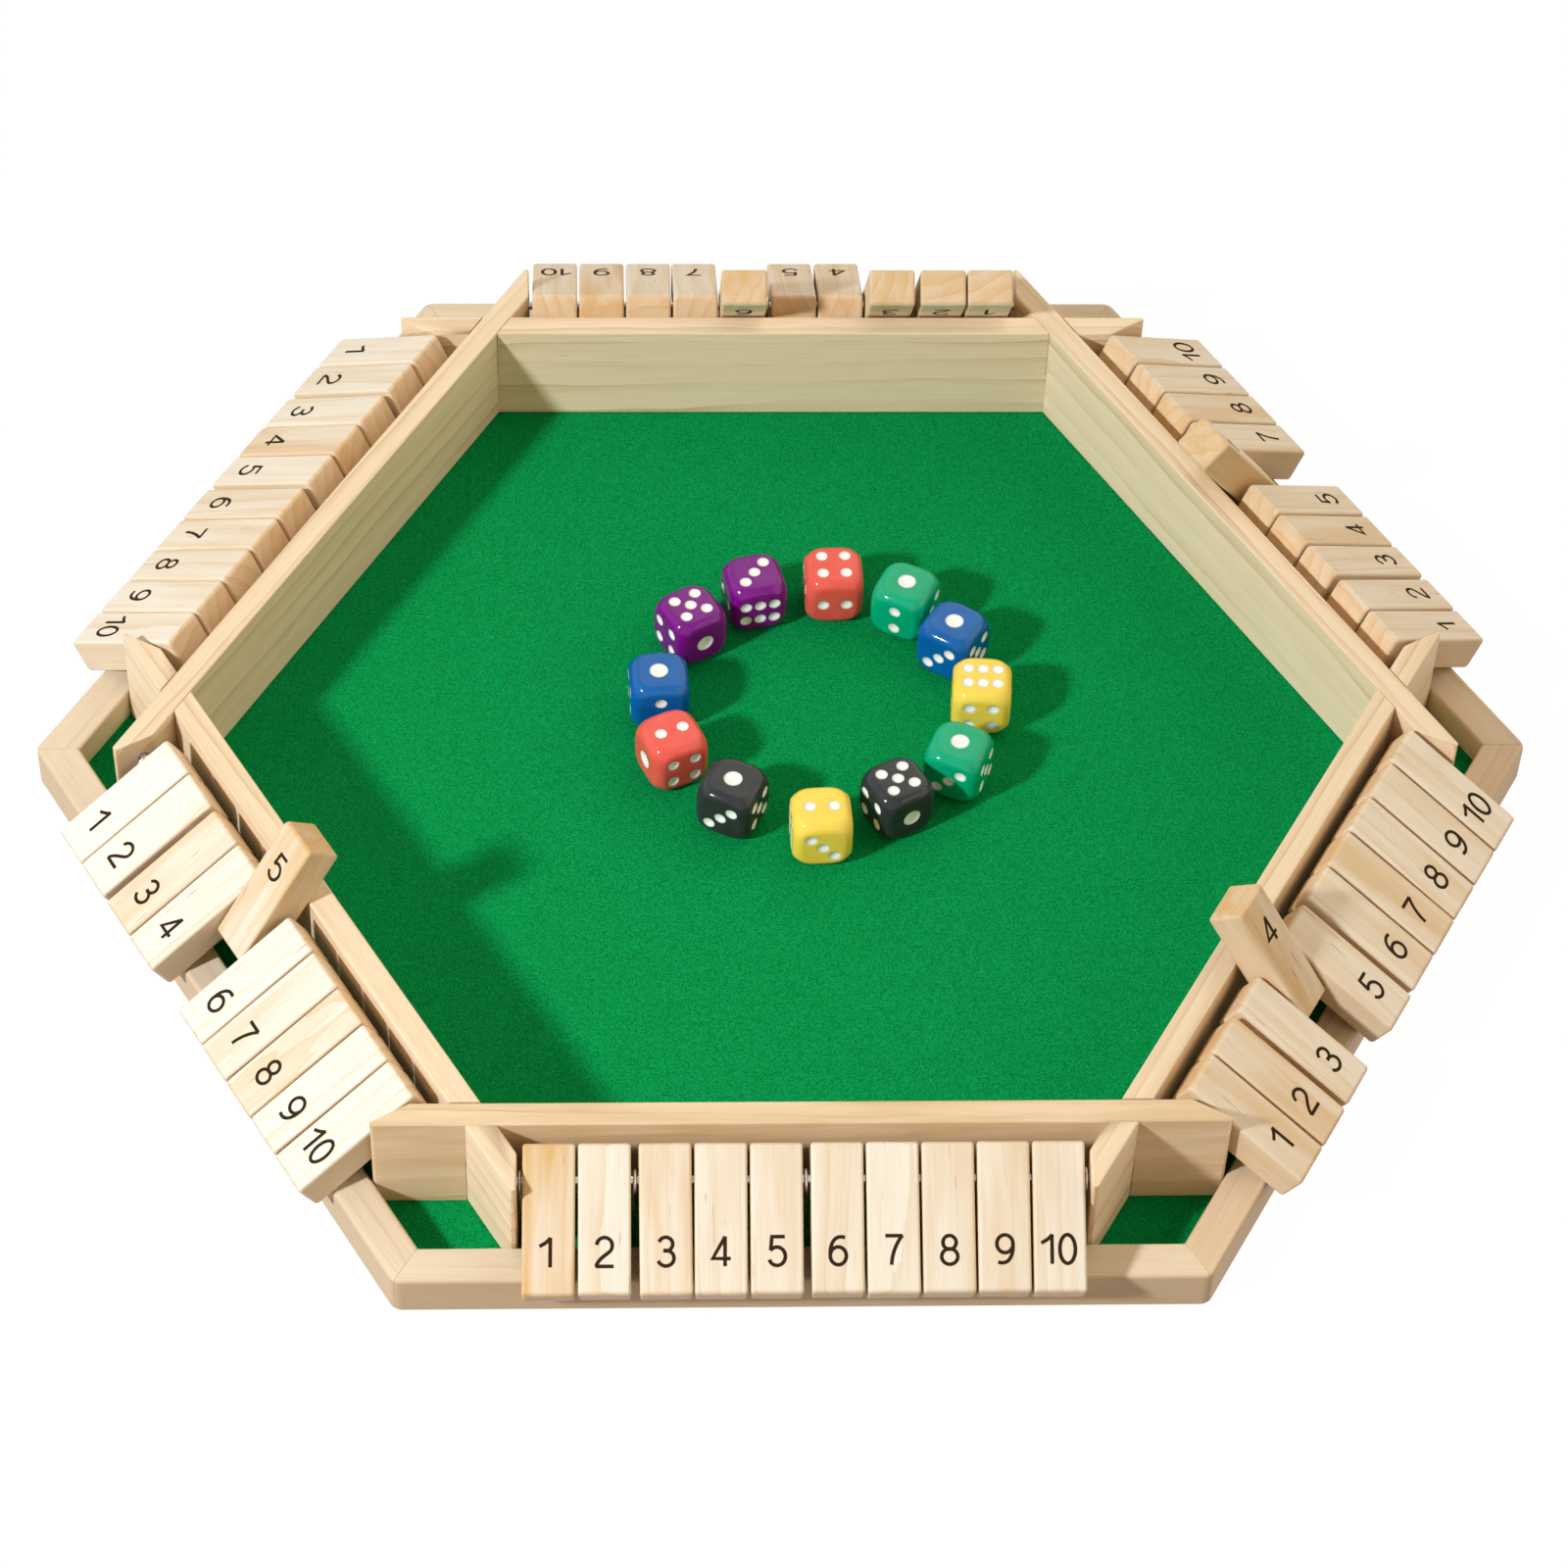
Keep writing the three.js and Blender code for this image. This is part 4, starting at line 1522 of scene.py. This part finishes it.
@dataclass
class ScrewEyes:
    """The small wire eyes that steady each rod in the two wide gaps of its row and at both ends."""

    finishes: Finishes
    wire: float = 0.44 * MM
    end_wire: float = 0.4 * MM
    loop_radius: float = 2.3 * MM
    drop: float = 0.55 * MM
    sweep: tuple[float, float] = (-78.0, 256.0)
    neck_out: tuple[float, float] = (0.25 * MM, 0.1 * MM)
    neck_down: tuple[float, float, float] = (0.5 * MM, 1.1 * MM, 1.8 * MM)
    shank_down: float = 2.5 * MM
    loop_points: int = 40
    shank_points: int = 6
    sides: int = 10
    end_space: float = 2.4
    leans: tuple[float, float] = (0.04, -0.04)
    spacing: Spacing = Spacing()

    def eye(self, place: float, wire: float, lean: float) -> Skin:
        """One eye as a swept wire in the front row's frame.

        The wire runs round the rod in the plane across it, from the foot of the loop all the way
        round. Then it turns down in a quarter bend into its straight shank, which ends in the felt.

        Args:
            place: Along the row.
            wire: Radius of the wire.
            lean: How far the loop leans along the row for its height.

        Returns:
            The eye as a closed skin.
        """
        turn = np.radians(np.linspace(*self.sweep, self.loop_points))
        loop = self.loop_radius * circle(turn) - [0, self.drop]
        foot_out, foot_up = loop[-1]
        out = [foot_out + self.neck_out[0], self.neck_out[1], 0]
        neck = np.stack([out, foot_up - np.array(self.neck_down)], -1)
        end = BOARD.felt_top - BOARD.rod_height
        down = np.linspace(foot_up - self.shank_down, end, self.shank_points)
        line = np.concatenate([loop, neck, np.stack([np.zeros_like(down), down], -1)])
        ahead = np.gradient(line, axis=0)
        ahead /= np.linalg.norm(ahead, axis=1, keepdims=True)
        side = np.stack([-ahead[:, 1], ahead[:, 0]], -1)
        around = full_turn(self.sides)
        flat = line[:, None] + wire * side[:, None] * np.cos(around)[None, :, None]
        leaning = lean * np.clip(flat[..., 1], -2 * self.loop_radius, None)
        across = place + wire * np.sin(around) + leaning
        return Skin.of_grid(np.concatenate([across[..., None], flat], -1))

    def build(self) -> None:
        """Makes each row's eyes as one piece: one in each wide gap and in the room at each end.

        A row that has slid leaves too little room for the eye beyond tile 10.
        """
        half_tile = self.spacing.width / 2
        half_row = (self.spacing.centres()[-1] + half_tile) + self.spacing.end_room
        for row in ROWS:
            centres = self.spacing.centres(row.slid)
            first, last = centres[0] - half_tile, centres[-1] + half_tile
            gaps = [centres[number - 1:number + 1].mean() for number in self.spacing.wide_gap_after]
            ends = [(first - half_row) / 2]
            if last + self.end_space * self.end_wire < half_row:
                ends.append((last + half_row) / 2)
            skins = [self.eye(place, self.wire, lean) for place, lean in zip(gaps, self.leans)]
            skins += [self.eye(place, self.end_wire, 0.0) for place in ends]
            piece = Piece("wire_eyes_" + row.side.label, skins, [self.finishes.steel], row.side.rod)
            piece.make("board", "steel")


@dataclass(frozen=True)
class DiePlace:
    """Where a die lies on the ring, and the numbers on its top and front.

    Its angle round the ring and its heading are in degrees, and its reach is a share of the radius.
    """

    name: str
    angle: float
    reach: float
    heading: float
    top: int
    front: int


DICE_PLACES = (
    DiePlace("purple_a", 140, 1.03, 30, 5, 1),
    DiePlace("purple_b", 112, 1.02, 12, 3, 6),
    DiePlace("red_a", 83, 1.02, 2, 4, 2),
    DiePlace("teal_a", 56, 1.04, -26, 1, 2),
    DiePlace("blue_a", 31, 1.01, -33, 1, 3),
    DiePlace("yellow_a", 3, 1.02, -4, 6, 4),
    DiePlace("teal_b", -30, 0.98, -23, 1, 3),
    DiePlace("black_a", -60, 0.91, 28, 5, 1),
    DiePlace("yellow_b", -91, 1.01, 3, 2, 3),
    DiePlace("black_b", -125, 0.96, -26, 1, 3),
    DiePlace("red_b", -157, 1.0, 25, 2, 4),
    DiePlace("blue_b", 174, 1.0, 4, 1, 2),
)


@dataclass
class Dice:
    """The twelve dice, as they lie in their ring on the felt."""

    finishes: Finishes
    size: float = 14.0 * MM
    edge_radius: float = 2.4 * MM
    corner_reach: float = 9.55 * MM
    pip_radius: float = 1.45 * MM
    one_pip_radius: float = 2.2 * MM
    pip_depth: float = 0.5 * MM
    pip_spacing: float = 2.8 * MM
    six_row: float = 0.8
    six_end: float = 1.25
    dish: float = 0.8
    corner_blend: float = 0.3 * MM
    flat_points: int = 25
    round_points: int = 13
    apart: float = 5.67 * MM
    ring_x: float = 8.4 * MM
    ring_y: float = 14.3 * MM
    normals: tuple[tuple[int, int, int], ...] = (
        (0, 0, 1), (-1, 0, 0), (0, -1, 0), (0, 1, 0), (1, 0, 0), (0, 0, -1),
    )

    def pips(self, number: int) -> np.ndarray:
        """The pip places on a face, in metres from its middle."""
        pair = [(0, -1), (0, 1)] if number == 2 else [(-1, -1), (1, 1)]
        steps = [(0, 0)] if number % 2 else []
        steps += pair if number > 1 else []
        steps += [(-1, 1), (1, -1)] if number > 3 else []
        steps += [(-1, 0), (1, 0)] if number == 6 else []
        shares = (self.six_row, self.six_end) if number == 6 else (1.0, 1.0)
        return np.array(steps, float) * self.pip_spacing * shares

    def face(self, number: int) -> tuple[np.ndarray, np.ndarray]:
        """One face of the die as a grid, with each point's distance from the nearest pip's rim.

        Points spread evenly over the flat and by even angles over the rounding. A point of the
        sharp cube is drawn in to the cube's core and pushed out again by the edge radius. Its
        distance from the middle then blends into that of a ball, which rounds the corners more.
        Last, each pip sinks by its depth times a power of one less the square of the distance from
        the pip's middle over its radius.

        Args:
            number: The face's number.

        Returns:
            The points, n by n by 3, and the distances, n by n.
        """
        half, core = self.size / 2, self.size / 2 - self.edge_radius
        angle = np.linspace(0, math.pi / 4, self.round_points + 1)[1:]
        rounding = core + self.edge_radius * np.tan(angle)
        flat = np.linspace(-core, core, self.flat_points)
        line = np.concatenate([-rounding[::-1], flat, rounding])
        normal = np.array(self.normals[number - 1], float)
        helper = np.array([1.0, 0, 0]) if normal[2] else np.array([0, 0, 1.0])
        across = np.cross(helper, normal)
        up = np.cross(normal, across)
        a, b = np.meshgrid(line, line, indexing="ij")
        sharp = half * normal + a[..., None] * across + b[..., None] * up
        inner = np.clip(sharp, -core, core)
        out = sharp - inner
        points = inner + self.edge_radius * out / np.linalg.norm(out, axis=-1, keepdims=True)
        far = np.linalg.norm(points, axis=-1, keepdims=True)
        blend = self.corner_blend
        points *= -blend * np.logaddexp(-far / blend, -self.corner_reach / blend) / far
        radius = self.one_pip_radius if number == 1 else self.pip_radius
        on_face = np.stack([points @ across, points @ up], -1)
        reach = np.linalg.norm(on_face[:, :, None] - self.pips(number), axis=-1).min(-1)
        sunk = self.pip_depth * np.clip(1 - (reach / radius) ** 2, 0, 1) ** self.dish
        return points - sunk[..., None] * normal, reach - radius

    def skins(self) -> tuple[list[Skin], np.ndarray]:
        """The six faces of a die, and the rim distances of all their points in millimetres."""
        skins, rims = [], []
        for number in range(1, 7):
            points, rim = self.face(number)
            skins.append(Skin(points.reshape(-1, 3), quads(*rim.shape, False, False)))
            rims.append(rim.ravel() / MM)
        return skins, np.concatenate(rims)

    def turn(self, die: DiePlace) -> np.ndarray:
        """The matrix that brings a die's top and front numbers round and puts it in its place."""
        top, front = np.array(self.normals[die.top - 1]), np.array(self.normals[die.front - 1])
        from_die = np.stack([top, front, np.cross(top, front)]).astype(float)
        to_board = np.array([[0, 0, 1], [0, -1, 0], [1, 0, 0]], float)
        reach = (self.size + self.apart) / (2 * math.sin(math.pi / len(DICE_PLACES))) * die.reach
        angle = math.radians(die.angle)
        x, y = self.ring_x + reach * math.cos(angle), self.ring_y + reach * math.sin(angle)
        place = shifted(x, y, BOARD.felt_top + BOARD.fit_gap + self.size / 2)
        upright = np.eye(4)
        upright[:3, :3] = to_board @ from_die
        return place @ turned(math.radians(die.heading)) @ upright

    def build(self) -> None:
        """Makes the dice."""
        skins, rims = self.skins()
        for die in DICE_PLACES:
            colour = die.name.split("_")[0]
            piece = Piece(
                "glossy_die_" + die.name, skins, [self.finishes.dice[colour]], self.turn(die),
                smooth_below=80.0, values={"pip_rim": rims},
            )
            node = "die_" + die.name
            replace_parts(piece.make(node, "die_" + colour), node)


@dataclass(frozen=True)
class Lamp:
    """A lamp: where it stands and how wide it looks.

    Its bearing is in degrees anticlockwise from +X, its height in degrees above the floor. Its
    strength is what falls on a face that looks at it from the middle of the board. Its distance
    from there is in metres, or none for a lamp so far that its rays are parallel.
    """

    name: str
    bearing: float
    height: float
    strength: float
    width: float
    tint: tuple[float, float, float]
    distance: float | None = None


@dataclass
class Studio:
    """The camera at the photograph's angle, the lamp, the soft surroundings and the pale floor."""

    focal: float = 106.02
    sensor: float = 36.0
    clip: Range = (0.01, 50.0)
    distance: float = 1.08976
    pitch: float = 49.011
    yaw: float = 3.258
    roll: float = 2.282
    target: tuple[float, float] = (0.18 * MM, -2.52 * MM)
    lamps: tuple[Lamp, ...] = (
        Lamp("key", 213.4, 36.3, strength=2.95, width=5.5, tint=(0.9, 0.96, 1.0), distance=1.6),
        Lamp("fill", 345.0, 25.0, strength=1.0, width=60.0, tint=(1.0, 0.9, 0.74)),
        Lamp("front", 268.0, 22.0, strength=0.42, width=60.0, tint=(1.0, 0.72, 0.46)),
        Lamp("rim", 52.0, 38.0, strength=1.35, width=70.0, tint=(1.0, 0.89, 0.69)),
        Lamp("side", 150.0, 38.0, strength=0.5, width=60.0, tint=(1.0, 0.9, 0.74)),
    )
    sky: float = 0.06
    sky_tint: tuple[float, float, float] = (1.0, 0.92, 0.8)
    floor_width: float = 12.0
    floor_level: float = -0.05 * MM
    floor_grey: float = 0.3
    floor_glow: float = 1.06
    glow_share: float = 0.93

    def camera(self) -> None:
        """Makes the camera.

        In a frame that is turned back by the yaw, it stands off from the target along a line that
        rises by the pitch, and is rolled about its own line of sight.
        """
        pitch, roll = math.radians(self.pitch), math.radians(self.roll)
        ahead = np.array([0, math.cos(pitch), -math.sin(pitch)])
        right, up = np.array([1.0, 0, 0]), np.array([0, math.sin(pitch), math.cos(pitch)])
        rolled_right = math.cos(roll) * right + math.sin(roll) * up
        rolled_up = math.cos(roll) * up - math.sin(roll) * right
        pose = np.eye(4)
        pose[:3, :3] = np.stack([rolled_right, rolled_up, -ahead], -1)
        pose[:3, 3] = np.array([*self.target, 0]) - self.distance * ahead
        data = bpy.data.cameras.new("camera")
        data.lens, data.sensor_width = self.focal, self.sensor
        data.clip_start, data.clip_end = self.clip
        camera = bpy.data.objects.new("camera", data)
        yaw = Matrix.Rotation(-math.radians(self.yaw), 4, "Z")
        camera.matrix_world = yaw @ Matrix(pose.tolist())
        bpy.context.scene.collection.objects.link(camera)
        bpy.context.scene.camera = camera

    def lamp(self, lamp: Lamp) -> None:
        """Makes one lamp, which shines down along its own bearing and height.

        A near lamp is a ball, whose power spreads over the sphere round it that passes through the
        board's middle.
        """
        data = bpy.data.lights.new(lamp.name, "POINT" if lamp.distance else "SUN")
        width = math.radians(lamp.width)
        if lamp.distance:
            data.energy = lamp.strength * 4 * math.pi * lamp.distance ** 2
            data.shadow_soft_size = lamp.distance * math.tan(width / 2)
        else:
            data.energy, data.angle = lamp.strength, width
        data.color = lamp.tint
        light = bpy.data.objects.new(lamp.name, data)
        tilt = Matrix.Rotation(math.radians(90 - lamp.height), 4, "Y")
        out = Matrix.Translation((0, 0, lamp.distance or 0))
        light.matrix_world = Matrix.Rotation(math.radians(lamp.bearing), 4, "Z") @ tilt @ out
        bpy.context.scene.collection.objects.link(light)

    @staticmethod
    def seen(bench: Bench) -> Signal:
        """1 for rays from the camera, or from a mirror or glass."""
        path = bench.node("LightPath").outputs
        kinds = ("Camera", "Glossy", "Transmission")
        camera, glossy, through = (Signal(bench, path[f"Is {kind} Ray"]) for kind in kinds)
        return bench.maths("MAXIMUM", bench.maths("MAXIMUM", camera, glossy), through)

    def surroundings(self) -> None:
        """White where it is seen, and an even soft light on everything else."""
        world = bpy.data.worlds.new("studio")
        bench = Bench(world)
        white = bench.node("Background", {"Color": (1, 1, 1, 1), "Strength": 1.0})
        soft = bench.node("Background", {"Color": (*self.sky_tint, 1), "Strength": self.sky})
        inputs = {0: self.seen(bench), 1: soft.outputs[0], 2: white.outputs[0]}
        mixed = bench.node("MixShader", inputs)
        bench.node("OutputWorld", {"Surface": mixed.outputs[0]})
        bpy.context.scene.world = world

    def floor(self) -> None:
        """A broad white floor just under the game, which keeps a faint shadow."""
        bench = Bench.named("studio_floor")
        paper = bench.node("BsdfDiffuse", {"Color": (*[self.floor_grey] * 3, 1)})
        glow = bench.node("Emission", {"Color": (1, 1, 1, 1), "Strength": self.floor_glow})
        share = self.seen(bench) * self.glow_share
        mixed = bench.node("MixShader", {0: share, 1: paper.outputs[0], 2: glow.outputs[0]})
        bench.node("OutputMaterial", {"Surface": mixed.outputs[0]})
        half = self.floor_width / 2
        mesh = bpy.data.meshes.new("floor")
        turns = ((-1, -1), (1, -1), (1, 1), (-1, 1))
        points = [(half * x, half * y, self.floor_level) for x, y in turns]
        mesh.from_pydata(points, [], [[0, 1, 2, 3]])
        mesh.materials.append(bench.owner)
        floor = bpy.data.objects.new("floor", mesh)
        bpy.context.scene.collection.objects.link(floor)

    def build(self) -> None:
        """Sets up the studio."""
        bpy.context.scene.view_settings.view_transform = "Standard"
        self.camera()
        for lamp in self.lamps:
            self.lamp(lamp)
        self.surroundings()
        self.floor()


def corners(box: tuple) -> list[list[float]]:
    """A box's two corners as plain lists."""
    return [[float(value) for value in corner] for corner in box]


def main() -> None:
    """Builds the game round the frame, then the studio."""
    logging.basicConfig(level=logging.INFO, format="%(name)s %(message)s")
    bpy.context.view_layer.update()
    finishes = Finishes()
    Base(finishes).build()
    Rail(finishes, np.random.default_rng(11)).build()
    Walls(finishes, np.random.default_rng(23)).build()
    Tiles(finishes, np.random.default_rng(5)).build()
    ScrewEyes(finishes).build()
    Dice(finishes).build()
    Studio().build()


if __name__ == "__main__":
    main()
